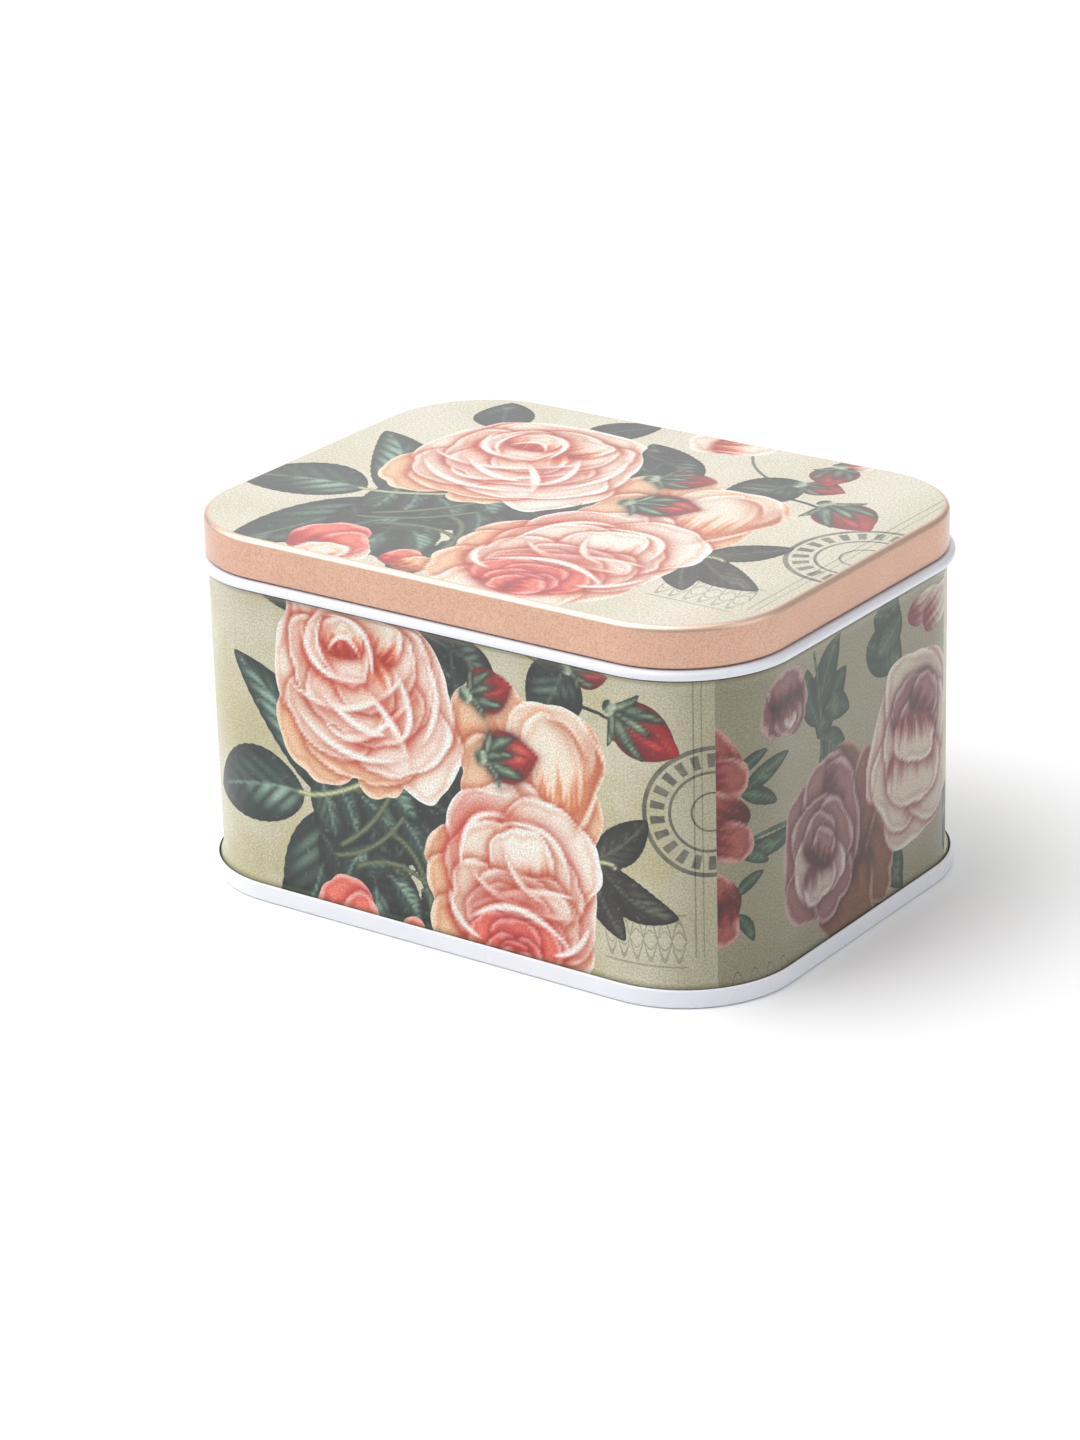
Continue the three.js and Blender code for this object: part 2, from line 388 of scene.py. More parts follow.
class Layer:
    """Paint on scattered points (x, y in millimetres): a colour, and how deep inside a shape each is."""

    def __init__(self, x, y):
        self.x, self.y = x, y
        self.color = np.zeros((len(x), 3))
        self.depth = np.full(len(x), UNPAINTED)

    def near(self, x, y, reach):
        """Which points lie in a square about (x, y), reach from its middle to its sides."""
        return np.flatnonzero((abs(self.x - x) < reach) & (abs(self.y - y) < reach))

    def lay(self, here, depth, color):
        """Paints a shape over what is there: depth is its distance inwards from its edge, in millimetres.
        Outside every shape the nearest shape's colour is kept, so that the edge can be cut crisply."""
        old = self.depth[here]
        cover = np.where(old < 0, (depth > old) * 1.0, step(-0.22, 0.22, depth))
        self.color[here] = blend(self.color[here], color, cover)
        self.depth[here] = np.maximum(old, depth)

    def cast(self, here, depth, tone, strength, reach):
        """Shades the paint round a shape that is about to be painted towards a tone, by strength at the
        shape's edge and less by a factor e for every reach away from it."""
        fall = strength * np.exp(np.minimum(depth, 0) / reach) * (self.depth[here] > 0)
        self.color[here] = blend(self.color[here], tone, fall)


def try_brush(brush, *shape):
    """Paints one shape on a 20 mm square of points 0.1 mm apart and prints how much of it is covered."""
    layer = Layer(*np.mgrid[-9.95:10:0.1, -9.95:10:0.1].reshape(2, -1))
    brush(layer, *shape)
    print(f"a {brush.__name__} covers {(layer.depth > 0).sum() / 100:.1f} square mm")


# %% Petals
def petal(layer, x, y, out, long, wide, tones, seed, roll=0.65, cast=0.85, reach=0.55):
    """A petal about (x, y) whose rim faces the angle out: an oval between an ellipse and a rectangle, long
    by wide from its middle, a little skewed, with a wavy edge. It is pale at its rolled rim, deeper at its
    base, veined from one to the other, and it throws a warm shadow on the petals under it."""
    here = layer.near(x, y, 1.2 * max(long, wide) + 3)
    chance = np.random.default_rng(seed)
    skew, square, notch = chance.uniform(-0.25, 0.25), chance.uniform(2.0, 2.8), chance.uniform(-0.7, 0.7)
    out = np.radians(out)
    dx, dy = layer.x[here] - x, layer.y[here] - y
    up = (dx * np.cos(out) + dy * np.sin(out)) / long
    side = (dy * np.cos(out) - dx * np.sin(out)) / wide + skew * up * abs(up)
    turn = np.arctan2(side, up)
    wave = 1 + 0.05 * wander(seed, turn, 3) + 0.008 * wander(seed + 1, turn, 9)
    wave = wave - 0.07 * np.exp(-((turn - notch) * 5) ** 2)
    far = (abs(up) ** square + abs(side) ** square) ** (1 / square) / wave + 1e-6
    slope = np.hypot(up / long, side / wide) / np.hypot(up, side).clip(1e-6)
    depth = (1 - far) / slope
    deep, body, pale = tones
    broad_vein = 0.12 * wander(seed + 2, side * (1.4 - 0.4 * up), 8)
    fine_vein = 0.07 * wander(seed + 3, side * (1.2 - 0.2 * up), 28)
    rise = (up + 1) / 2 + (broad_vein + fine_vein) * (1.15 - up) + 0.10 * wander(seed + 4, side, 3)
    color = blend(deep, body, step(0.05, 0.50, rise))
    color = blend(color, pale, step(0.34, 0.66, rise))
    facing = step(-0.45, 0.25, up)
    fold = roll * (1 + 0.6 * wander(seed + 5, turn, 4))
    color = blend(color, deep, 0.18 * facing * np.exp(-((depth - 1.7 * fold) / (0.6 * fold)) ** 2))
    color = blend(color, pale * 0.6 + 0.4, 0.95 * facing * step(1.3 * fold, 0.6 * fold, depth))
    layer.cast(here, depth, deep, cast, reach)
    layer.lay(here, depth, color)


try_brush(petal, 0, 0, 90, 6, 5, BLUSH, 1)


# %% Leaves
def leaf(layer, base, tip, wide, tones, seed, bend=0.0, cast=0.55, veins=6, teeth=0.35, lit=0.5):
    """A leaf from base to tip: its half width is a sine of the way along, with small teeth, about a midrib
    that bends. Each side is quilted between slanting veins, one side more lit than the other."""
    base, tip = np.array(base, float), np.array(tip, float)
    long = np.hypot(*(tip - base))
    along = (tip - base) / long
    here = layer.near(*(base + tip) / 2, long / 2 + wide / 2 + abs(bend) + 2)
    dx, dy = layer.x[here] - base[0], layer.y[here] - base[1]
    t = (dx * along[0] + dy * along[1]) / long
    across = dy * along[0] - dx * along[1] - bend * 4 * t * (1 - t)
    inside = np.clip(t, 0, 1)
    bite = abs((t * veins * 2 + 0.3 * seed) % 1 - 0.5)
    half = wide / 2 * np.sin(np.pi * inside ** 0.85) ** 0.7 - teeth * bite * np.sin(np.pi * inside)
    beyond = np.maximum(-t, t - 1) * long
    depth = np.where(beyond > 0, -np.hypot(beyond, across), (half - abs(across)) * 0.85)
    dark, mid, light = tones
    slant = (t * veins - abs(across) / wide * veins * 0.8 + 0.5 * seed) % 1
    quilt = np.sin(np.pi * slant) ** 1.5
    sheen = 0.5 + 0.5 * wander(seed, t * 3 + across * 0.15, 2)
    share = np.where(across > 0, lit, 1 - lit)
    body = step(0.0, 0.3 * wide, half - abs(across) + 0.1)
    plump = (0.25 + 0.75 * quilt) * body
    color = blend(dark, mid, plump * (0.35 + 0.65 * sheen))
    color = blend(color, light, plump * step(0.30, 0.95, sheen * share * 1.7))
    color = blend(color, dark, 0.45 * step(0.14, 0.02, np.minimum(slant, 1 - slant)) * body)
    color = blend(color, light, 0.6 * step(0.32, 0.10, abs(across)) * step(1.0, 0.75, t))
    color = blend(color, dark * 0.85, 0.6 * step(0.5, 0.0, depth))
    layer.cast(here, depth, dark * 0.6, cast, 0.6)
    layer.lay(here, depth, color)


try_brush(leaf, (-7, 0), (7, 0), 6, LEAF, 1)


# %% Stalks and rolled rims
def trace(layer, points):
    """Follows the parabola that passes through three chosen points, cut into 15 short straights. Gives the
    paint points near it, how far each lies from it, above zero on its left, and how far along, 0 to 1."""
    first, middle, last = np.array(points, float)
    s = np.linspace(0, 1, 16)[:, None]
    bow = 2 * middle - (first + last) / 2
    curve = (1 - s) ** 2 * first + 2 * s * (1 - s) * bow + s * s * last
    here = layer.near(*(curve.min(0) + curve.max(0)) / 2, np.ptp(curve, axis=0).max() / 2 + 3)
    at = np.stack([layer.x[here], layer.y[here]], -1)[:, None] - curve[:-1]
    along = np.diff(curve, axis=0)
    share = np.clip((at * along).sum(-1) / (along ** 2).sum(-1), 0, 1)
    gap = np.linalg.norm(at - share[..., None] * along, axis=-1)
    near = gap.argmin(1)
    row = np.arange(len(here))
    left = np.sign(along[near, 0] * at[row, near, 1] - along[near, 1] * at[row, near, 0])
    return here, gap[row, near] * left, (near + share[row, near]) / len(along)


def stalk(layer, points, width, color):
    """A stalk: every point nearer to a smooth curve than half the width, palest along the middle."""
    here, gap, _ = trace(layer, points)
    depth = width / 2 - abs(gap)
    layer.cast(here, depth, color * 0.5, 0.3, 0.3)
    layer.lay(here, depth, color * (0.8 + 0.4 * step(0, width / 2, depth))[:, None])


def rim(layer, points, width, tones, shade):
    """The rolled rim of a petal: a pale line, widest half way, with a deep fold along its right that fades
    by a factor e for every shade away from it. It is painted only where there is a flower already."""
    here, gap, share = trace(layer, points)
    swell = np.sin(np.pi * share.clip(0.02, 0.98)) ** 0.7
    inside = layer.depth[here] > 0.3
    fold = np.where(gap < 0, np.exp(gap / shade), np.exp(-gap / 0.25)) * swell * inside
    layer.color[here] = blend(layer.color[here], tones[0], 0.9 * fold)
    ridge = step(-0.2, 0.35, width / 2 * swell - abs(gap)) * inside
    layer.color[here] = blend(layer.color[here], tones[2] * 0.5 + 0.5, ridge * step(0.05, 0.5, swell))


try_brush(stalk, ((-8, 0), (0, 3), (8, 0)), 1, MOSS[1])

# %% [markdown]
# ## The two pictures
# The long sides carry one picture and the ends another, and the lid repeats the front's picture a little
# larger. They are laid out as a designer would place cut-out flowers on a sheet: each line says
# where a leaf starts and ends, or which way a petal faces, from the back of the bunch to the front.
# %% Flowers made of petals
BUD_PETALS = (
    (0.20, 1.85, 0.80, 0.5, SCARLET),
    (-0.20, 1.9, 0.80, -0.5, SCARLET),
    (0.02, 2.0, 0.72, 0.1, RUDDY),
    (-0.16, 1.75, 0.42, -0.4, SCARLET),
)
BUD_SEPALS = (
    (24, 1.45, 0.52, 0.5),
    (-24, 1.5, 0.52, -0.5),
    (3, 1.2, 0.40, 0.2),
    (62, 0.95, 0.34, -0.5),
    (-66, 1.0, 0.34, 0.5),
)


def folds(flowers, x, y, shapes, seed, scale=1.0):
    """The petals of a flower, painted from the outermost in. Each is given about the flower's middle by its
    place, the way it faces, its length, its width and its tones."""
    for k, (px, py, out, long, wide, tones) in enumerate(shapes):
        petal(flowers, x + px * scale, y + py * scale, out, long * scale, wide * scale, tones, seed + 7 * k)


def bud(flowers, x, y, out, long, wide, seed):
    """A rose bud facing the angle out: pointed red petals wrapped over each other, each started and ended
    a little to one side, sepals that hug them, two that curl away, and the green cup they grow from."""
    way = np.radians(out)
    ahead, across = np.array([np.cos(way), np.sin(way)]), np.array([-np.sin(way), np.cos(way)])
    foot = np.array([x, y]) - ahead * long
    for shift, reach, share, bend, tones in BUD_PETALS:
        start = foot + across * shift * wide * 0.4
        tip = foot + ahead * long * reach + across * shift * wide * 0.5
        leaf(flowers, start, tip, wide * 2 * share, tones, seed, bend, 0.25, veins=1, teeth=0.0, lit=0.65)
    for turn, reach, share, bend in BUD_SEPALS:
        angle = way + np.radians(turn)
        tip = foot + long * reach * np.array([np.cos(angle), np.sin(angle)])
        leaf(flowers, foot, tip, wide * share, SEPAL, seed + abs(turn), bend, 0.25, 1, 0.1, 0.65)
    petal(flowers, *(foot - ahead * 0.3), out, 1.1, 1.2, SEPAL, seed, 0.2, 0.2, 0.3)


def finished(title, leaves, flowers):
    """Prints how much of a picture's points lies under its leaves and its flowers, and gives the layers."""
    leafy, flowery = (leaves.depth > 0).mean(), (flowers.depth > 0).mean()
    print(f"{title} on {len(leaves.x)} points: leaves on {leafy:.0%}, flowers on {flowery:.0%}")
    return leaves, flowers


# %% Two large roses
ROSE_ONE = (
    (3.5, -12.0, -80, 5.5, 5.0, PEACH), (-8.5, -8, -130, 8.5, 9.5, PEACH),
    (12.5, -7.0, -30, 7.5, 8.5, IVORY), (13.0, 4.0, 15, 5.5, 10, IVORY), (0, -8.0, -95, 7.5, 11.5, PEACH),
    (-11.5, 5.0, 165, 5.5, 11, BLUSH), (0, 12.5, 90, 6.0, 13, CORAL), (7.0, -4.0, -48, 9.0, 10.5, IVORY),
    (-6.0, -4.0, -125, 8.0, 9.0, BLUSH), (9.0, 5.0, 5, 6.0, 9.0, IVORY), (4.5, -1.0, -65, 7.0, 9.0, CORAL),
    (-9.0, 4.0, -170, 5.0, 8.5, CORAL), (-2.5, -1.0, -115, 6.5, 8.0, IVORY),
    (6.0, 6.0, -10, 5.5, 8.0, IVORY), (1.5, 11.0, 75, 5.0, 7.5, CORAL), (1.0, 2.5, -75, 5.5, 6.0, CORAL),
    (-6.0, 8.5, 165, 4.5, 6.0, CORAL), (-2.5, 6.5, -100, 5.0, 5.0, IVORY),
    (-3.0, 9.5, 100, 3.6, 4.2, CORAL),
)
ROSE_TWO = (
    (-11.5, 1, 172, 5, 5.5, PEACH), (-9.5, -6, -165, 6.5, 8, PEACH), (-8, -13, -140, 6.5, 9, PEACH),
    (10, -11, -30, 6.0, 9, BLUSH), (1, -16, -90, 7, 11, BLUSH), (11, -3, -5, 6.0, 10, IVORY),
    (-1.5, 7.5, 112, 8.5, 10.5, IVORY), (8.0, 6.0, 48, 9.0, 10.0, IVORY), (-4.0, 1.0, 140, 7.5, 9.0, FLAME),
    (6.5, 1.0, 35, 7.0, 8.5, CORAL), (2.5, 2.5, 100, 6.5, 6.5, IVORY), (-6.0, -5.5, 165, 6.0, 7.0, CORAL),
    (7.5, -5.5, 15, 6.0, 7.0, CORAL), (3.0, -3.5, 80, 4.6, 9.0, IVORY), (-2.5, -7.0, 125, 5.0, 6.5, IVORY),
    (5.5, -8.0, 55, 5.0, 6.5, IVORY), (1.0, -9.5, 95, 4.6, 7.5, FLAME), (-3.0, -11.5, 140, 4.6, 5.0, RUDDY),
    (5.5, -11.5, 40, 4.6, 5.0, RUDDY), (1.2, -11.0, 90, 3.8, 5.0, RUDDY),
    (-1.5, -13.5, 120, 3.0, 3.4, RUDDY), (3.5, -13.5, 60, 3.0, 3.4, RUDDY),
    (1.0, -13.5, 90, 2.4, 2.8, SCARLET), (0.0, -15.5, 160, 2.8, 3.0, RUDDY),
    (3.0, -15.5, 10, 2.8, 3.0, RUDDY),
)
ROSE_SCALE = 0.93
print("petals in the two large roses:", len(ROSE_ONE), "and", len(ROSE_TWO))

# %% Rolled rims of the large petals
# each passes three points, with its width, its tones and how far its fold reaches
RIMS = (
    ((-28.5, 39), (-15, 36.2), (-2, 46.5), 1.3, CORAL, 1.4),
    ((-21, 34), (-13, 31.8), (-1, 43), 1.3, FLAME, 1.0),
    ((-4.5, 29.5), (-7, 34.5), (-12.5, 40), 1.5, FLAME, 1.6),
    ((-27, 35.5), (-17, 28.8), (-5, 30), 1.3, CORAL, 1.0),
    ((-22, 38.5), (-14, 33.5), (-8, 33.5), 1.4, FLAME, 0.9),
    ((-24, 49), (-20.5, 41.5), (-11, 41.5), 1.3, FLAME, 1.6),
    ((-11, 41), (-12.5, 49), (-20, 50.5), 1.2, CORAL, 1.6),
    ((-17, 40.5), (-21, 45), (-19.5, 51), 0.9, FLAME, 1.8),
    ((-7, 32), (-4, 37), (-7, 45), 1.3, CORAL, 1.2),
    ((-2.5, 32), (1, 40), (-1, 48), 1.3, CORAL, 0.8),
    ((-19.5, 44), (-16, 47.5), (-12.5, 44), 1.0, FLAME, 1.6),
    ((15, 24.4), (7.0, 22.5), (4.5, 12), 1.2, FLAME, 2.6),
    ((24.5, 14), (21.5, 23.0), (11, 23), 1.2, CORAL, 1.2),
    ((26.5, 14.0), (16, 13.0), (5, 7.5), 1.3, CORAL, 1.4),
    ((6, 15.0), (14.5, 10.6), (26.5, 11), 1.4, CORAL, 1.4),
    ((12.5, 20.5), (15.5, 14.5), (21, 12), 1.1, CORAL, 1.0),
    ((26, 4.5), (15, 10.0), (5.0, 5.5), 1.3, FLAME, 2.0),
    ((2.5, 11), (4, 6), (9, 3.5), 1.2, CORAL, 1.0),
    ((21, 4), (25.5, 6), (28.5, 11), 1.2, CORAL, 1.2),
    ((20, 41.5), (25, 42), (29, 36), 0.9, PEACH, 1.4),
    ((31.5, 38), (29.5, 31), (25.5, 24), 0.9, PEACH, 1.4),
    ((17, 27.5), (14, 32), (15.5, 39.5), 0.9, PEACH, 1.4),
    ((28, 42), (32, 36), (32, 29), 0.9, PEACH, 1.4),
)
print(len(RIMS), "rolled rims")


# %% The front's picture
def front_picture(x, y):
    """The picture of the box's front: two large roses, an orange one behind, buds and dark leaves. x is
    measured from the middle of the front and y up from the ground."""
    leaves, flowers = Layer(x, y), Layer(x, y)
    for base, tip, wide, tones, bend, lit in (
        ((-24, 50), (-30, 60), 9, SHADE, 0.5, 0.5),
        ((-12, 52), (-5, 62), 8, SHADE, 0.5, 0.5),
        ((10, 48), (-2, 55), 7, SHADE, 0.8, 0.8),
        ((-22, 21), (-38, 41), 9.0, LEAF, -2.2, 0.9),
        ((-14, 25), (-24, 10), 8, SHADE, 1, 0.5),
        ((0, 30), (-6, 14), 9, SHADE, 0, 0.5),
        ((-20, 26), (-14, 8), 9, MOSS, 1, 0.5),
        ((-8, 24), (2, 8), 9, SHADE, 1, 0.4),
        ((-25, 20), (-45, 16), 13, LEAF, -1.5, 0.75),
        ((-20, 18), (-28, -6), 14, LEAF, 1.0, 0.6),
        ((-18, 24), (-8, 14), 8, MOSS, 0, 0.6),
        ((-14, 18), (-6, 6), 7, LEAF, 0, 0.5),
        ((-16, 12), (-4, -1), 8, SHADE, 0, 0.5),
        ((-3, 16), (6, 0), 8, SHADE, 1, 0.5),
        ((-12, 8), (-10, -5), 6, LEAF, 0, 0.5),
        ((-20, 4), (-12, -6), 6, SHADE, 0, 0.5),
        ((-4, 6), (0, -5), 7, LEAF, 0, 0.5),
        ((2, 8), (6, -4), 6, SHADE, 0, 0.5),
        ((-22, 24), (-19, 12), 7, LEAF, 0.5, 0.6),
        ((-10, 25), (-13, 13), 6.5, SHADE, 0.5, 0.6),
        ((-1, 22), (-9, 12), 7.5, SHADE, 0.5, 0.6),
        ((-16, 9), (-6, 12), 5, LEAF, 0.5, 0.6),
        ((-8, 12), (-5, 2), 5.5, MOSS, 0.5, 0.6),
        ((2, 12), (-3, 4), 5, SHADE, 0.5, 0.6),
        ((6, 22), (-5, 27), 8, SHADE, 0.8, 0.4),
        ((6, 22), (4, 34), 6, SHADE, 0.4, 0.5),
        ((-12, 26), (-3, 20), 7, LEAF, 0.4, 0.6),
        ((-22, 14), (-14, 2), 7, SHADE, 0.4, 0.5),
        ((-19, 24), (-15, 15), 5, LEAF, 0.6, 0.8),
        ((-14, 22), (-7, 16), 5.5, LEAF, 0.6, 0.8),
        ((-6, 20), (-1, 12), 5, LEAF, 0.6, 0.8),
        ((-13, 14), (-18, 6), 5, LEAF, -0.6, 0.8),
        ((-9, 10), (-3, 3), 5, LEAF, 0.5, 0.8),
        ((-3, 9), (4, 4), 4.5, LEAF, 0.5, 0.7),
        ((0, 51), (12, 47), 8, SHADE, 0, 0.5),
        ((1, 47), (8, 41), 6, SHADE, 0.5, 0.4),
        ((2, 43), (7, 33), 6.5, LEAF, 0.6, 0.4),
        ((8, 38), (2, 29), 6.5, SHADE, 0.4, 0.4),
        ((8, 33), (5, 22), 7.0, SHADE, 0.3, 0.4),
        ((25, 52), (19, 41), 10.5, SHADE, 0.6, 0.45),
        ((29.5, 21.5), (38.5, 29.5), 6.4, CHARCOAL, -0.6, 0.5),
        ((30, 21), (43, 14), 6.6, CHARCOAL, -1.4, 0.6),
        ((28.5, 20), (34.5, 9.5), 5.6, CHARCOAL, -0.6, 0.5),
        ((-62, 4), (-52, 15), 9, LEAF, -1, 0.5),
    ):
        leaf(leaves, base, tip, wide, tones, int(10 * wide) + int(tip[0]), bend=bend, lit=lit)
    for points, width, color in (
        (((-26, 20), (-20, 21), (-12, 25)), 0.8, MOSS[2]),
        (((-9, 17), (-4, 14), (-1, 6)), 0.9, MOSS[1]),
        (((-18, 13), (-12, 18), (-8, 24)), 0.9, MOSS[1]),
        (((-19, 11), (-12, 14), (-6, 20)), 0.8, MOSS[1]),
        (((-15, 10), (-8, 12), (-2, 10)), 0.8, MOSS[1]),
        (((24, 45.5), (29, 45.2), (32, 44.5)), 0.6, SHADE[0]),
        (((28.5, 20.2), (31, 21.4), (33, 21)), 0.7, MOSS[2]),
        (((4, 50), (5, 40), (6, 26)), 0.8, SHADE[1]),
        (((12, 60), (16, 54), (22, 50)), 0.5, SHADE[1]),
    ):
        stalk(leaves, points, width, color)
    folds(flowers, 20.5, 34, (
        (-8.5, 4, 120, 9, 7.5, PEACH),
        (-9, -4, 170, 6.5, 7, PEACH),
        (1.0, -4.5, -60, 10, 9, PEACH),
        (3.0, 0.5, -20, 7.5, 9.5, PEACH),
        (1.0, 3.5, 80, 7.5, 8.0, (PEACH[1], ink(240, 206, 180), CREAM)),
        (1.5, 1.0, 95, 8.0, 5.5, (PEACH[1], ink(246, 228, 210), CREAM)),
    ), 300)
    for x_flower, y_flower, facing, size, tones in (
        (-12.5, -1, 20, 4.2, CORAL),
        (-17.5, 2.5, 95, 5.6, RUDDY),
        (-14.5, 1, 60, 4.4, RUDDY),
        (-15, -3, 90, 4.0, CORAL),
        (-4, 1.0, 80, 3.0, RUDDY),
        (-1, 0.0, 70, 2.8, PEACH),
        (6, 60, 200, 4.5, CORAL),
        (10, 61, 20, 4.5, CORAL),
        (28, 62, 20, 3.0, CORAL),
    ):
        petal(flowers, x_flower, y_flower, facing, size, size * 0.95, tones, int(size * 10))
    folds(flowers, -13.5, 38.5, ROSE_ONE, 500, ROSE_SCALE)
    folds(flowers, 13.5, 15, ROSE_TWO, 700, ROSE_SCALE)
    for *points, width, tones, shade in RIMS:
        rim(flowers, points, width, tones, shade)
    bud(flowers, 11, 44.5, 20, 4.4, 3.6, 21)
    bud(flowers, 14.5, 34.5, 12, 5.2, 4.2, 22)
    bud(flowers, 38, 43, -30, 6.2, 4.4, 23)
    bud(flowers, 29, 51, 0, 3.6, 2.6, 24)
    bud(flowers, 27.5, 56, -70, 4.0, 3.4, 25)
    return finished("the front's picture", leaves, flowers)


# %% The ends' picture
def side_picture(x, y):
    """The picture of the box's ends: faded maroon and blush roses with green sprigs. x starts at the edge
    that it shares with the front's picture."""
    leaves, flowers = Layer(x, y), Layer(x, y)
    for base, tip, wide, tones, bend, lit in (
        ((4, 33), (14, 37), 3.4, SPRIG, 0.6, 0.5),
        ((4, 33), (11, 30), 3.0, SPRIG, 0.4, 0.5),
        ((3, 36), (9, 39), 2.4, SPRIG, 0.4, 0.5),
        ((3, 24), (18, 25), 3.4, SPRIG, -0.8, 0.5),
        ((3, 24), (9, 21), 2.6, SPRIG, 0.4, 0.5),
        ((3, 17), (8, 20), 2.4, SPRIG, 0.4, 0.5),
        ((3, 14), (6, 9), 2.4, SPRIG, 0.4, 0.5),
        ((22, 36), (30, 45), 6.5, SPRIG, 0.6, 0.6),
        ((22, 38), (19, 48), 5, SPRIG, 0.6, 0.5),
        ((24, 40), (31, 38), 5, SPRIG, 0.6, 0.5),
        ((24, 36), (30, 31), 6, SPRIG, -0.6, 0.5),
        ((22, 40), (28, 51), 6, SPRIG, 0.6, 0.5),
        ((36, 46), (46, 40), 9, SPRIG, 0.8, 0.4),
        ((38, 50), (46, 47), 7, SPRIG, 0.4, 0.5),
        ((46, 48), (38, 43), 6, SPRIG, 0.4, 0.5),
        ((40, 12), (46, 3), 7, SPRIG, 0.5, 0.5),
        ((34, 12), (38, -2), 6, SPRIG, 0.5, 0.5),
    ):
        leaf(leaves, base, tip, wide, tones, int(7 * wide) + int(tip[0]), bend=bend, lit=lit, cast=0.25)
    for points in (
        ((12, 44), (20, 42), (24, 30)),
        ((22, 30), (23, 38), (21, 50)),
        ((2, 24), (9, 26), (17, 25)),
    ):
        stalk(leaves, points, 0.6, SPRIG[1])
    for x_flower, y_flower, facing, long, wide, tones in (
        (0, 39, 120, 5.5, 3.6, WINE),
        (1, 36, -10, 4.5, 3.2, WINE),
        (0, 30, 150, 5.5, 3.8, WINE),
        (1.5, 26, -20, 5.0, 3.2, WINE),
        (0, 17, 140, 4.5, 3.4, WINE),
        (0.5, 12.5, -80, 3.5, 3.0, WINE),
        (53, 47, 10, 5, 2.6, BLUSHED),
        (57, 46, 20, 5, 3.0, BLUSHED),
        (51, 13, 10, 3, 2.0, BLUSHED),
    ):
        petal(flowers, x_flower, y_flower, facing, long, wide, tones, int(x_flower + y_flower), cast=0.3)
    folds(flowers, 13.5, 44.5, (
        (-2, 0, 180, 4.0, 4.6, MAROON), (2, -1, -20, 3.8, 4.4, MAROON), (0, 2, 90, 3.6, 4.4, MAROON),
        (0.5, -2, -80, 3.0, 3.6, MAROON), (1, -2.5, -90, 1.6, 1.6, FADED)), 900)
    for x_petal, y_petal, facing, long, wide in (
        (32, 24, 110, 10, 5), (36, 12, -60, 10, 6), (30, 8, -90, 9, 8), (34, 20, 60, 10, 5)):
        petal(flowers, x_petal, y_petal, facing, long, wide, RUSSET, x_petal, cast=0.3)
    folds(flowers, 22.5, 19, (
        (-4, 1, 180, 6, 10, MAROON), (2, 6, 80, 7.5, 7, MAROON), (6, 2, 10, 5, 10, MAROON),
        (-3, -6, -130, 6.5, 6, MAROON), (3, -7, -60, 6, 6, MAROON), (-1, 2, 120, 6, 6.5, MAROON),
        (3, 0, 30, 5.5, 6.5, MAROON), (-2, -3, -160, 5, 6, FADED), (2, -5, -60, 4.5, 5, FADED),
        (0, 1, 80, 4, 4.5, MAROON), (0, -6, -80, 3.5, 4.5, FADED), (1, -1, 60, 3, 3.4, MAROON)), 930)
    folds(flowers, 50, 25, (
        (-6, 4, 160, 6.5, 11, BLUSHED), (7, 4, 20, 6.5, 11, BLUSHED), (0, -8, -90, 8, 9, BLUSHED),
        (-5, -4, -150, 6.5, 9, BLUSHED), (6, -5, -40, 6.5, 9, BLUSHED), (0, 8, 90, 8, 9, BLUSHED),
        (-3, 2, 170, 6, 8, BLUSHED), (4, 1, 0, 6, 8, BLUSHED), (0, -4, -90, 5.5, 8, BLUSHED),
        (0, 7, 90, 5, 6.5, MAROON), (1, 4, 80, 4.4, 6.0, (WINE[0], MAROON[1], BLUSHED[1])),
        (3, 7, 40, 4.0, 4.5, MAROON), (0, 1.5, -100, 4, 6, BLUSHED)), 960)
    return finished("the ends' picture", leaves, flowers)

# %% [markdown]
# ## The printed finish
# The print is lithographed on the flat sheet under a satin varnish. On the metal it is old paper with
# stains, then fine grey pen work, then the leaves and the flowers, all broken up by a sandy grain that
# the varnish has too. The mesh carries the painted layers as attributes, and the material draws the
# paper, the pen work and the grain, because they are finer than the mesh.
# %% Painting onto a mesh
FRONT_START, FRONT_END = -56.2, 48.6  # where the front's picture starts and ends, round the wall
JOIN = 0.02  # half the width over which the two pictures meet
CONTRAST = 1.22  # of the press, about half grey
PRESS_GREY = 0.47  # what the press makes of half grey


def paint_part(layers, chosen, picture, x, y):
    """Paints a picture at x and y on the chosen points of two layers that cover a whole mesh."""
    for whole, part in zip(layers, picture(x[chosen], y[chosen])):
        whole.color[chosen] = part.color
        whole.depth[chosen] = part.depth


def carry(mesh, leaves, flowers):
    """Writes two layers of paint into a mesh: their colours as light, and their depths in millimetres. The
    press prints with a little more contrast than the paint has."""
    for name, layer in (("leaf", leaves), ("flower", flowers)):
        light = linear((PRESS_GREY + CONTRAST * (layer.color - 0.5)).clip(0, 1))
        color = mesh.attributes.new(name + "_color", "FLOAT_COLOR", "POINT")
        color.data.foreach_set("color", np.c_[light, np.ones(len(light))].ravel())
        depth = mesh.attributes.new(name + "_depth", "FLOAT", "POINT")
        depth.data.foreach_set("value", layer.depth)
    print(f"{mesh.name}: paint on {len(leaves.x)} points")


# %% Pen work
PEN = rgb(58, 58, 52)


def line(shader, distance, width):
    """A pen line: 1 where the distance from it is below half its width and 0 beyond, over 0.1 mm."""
    return shader.smooth(abs(distance), width / 2 + 0.05, width / 2 - 0.05)


def ring(shader, x, y, middle, radius, width):
    """A circle drawn with a pen: a line where the distance from its middle is the radius. Gives that
    distance too."""
    far = ((x - middle[0]) ** 2 + (y - middle[1]) ** 2) ** 0.5
    return line(shader, far - radius, width), far


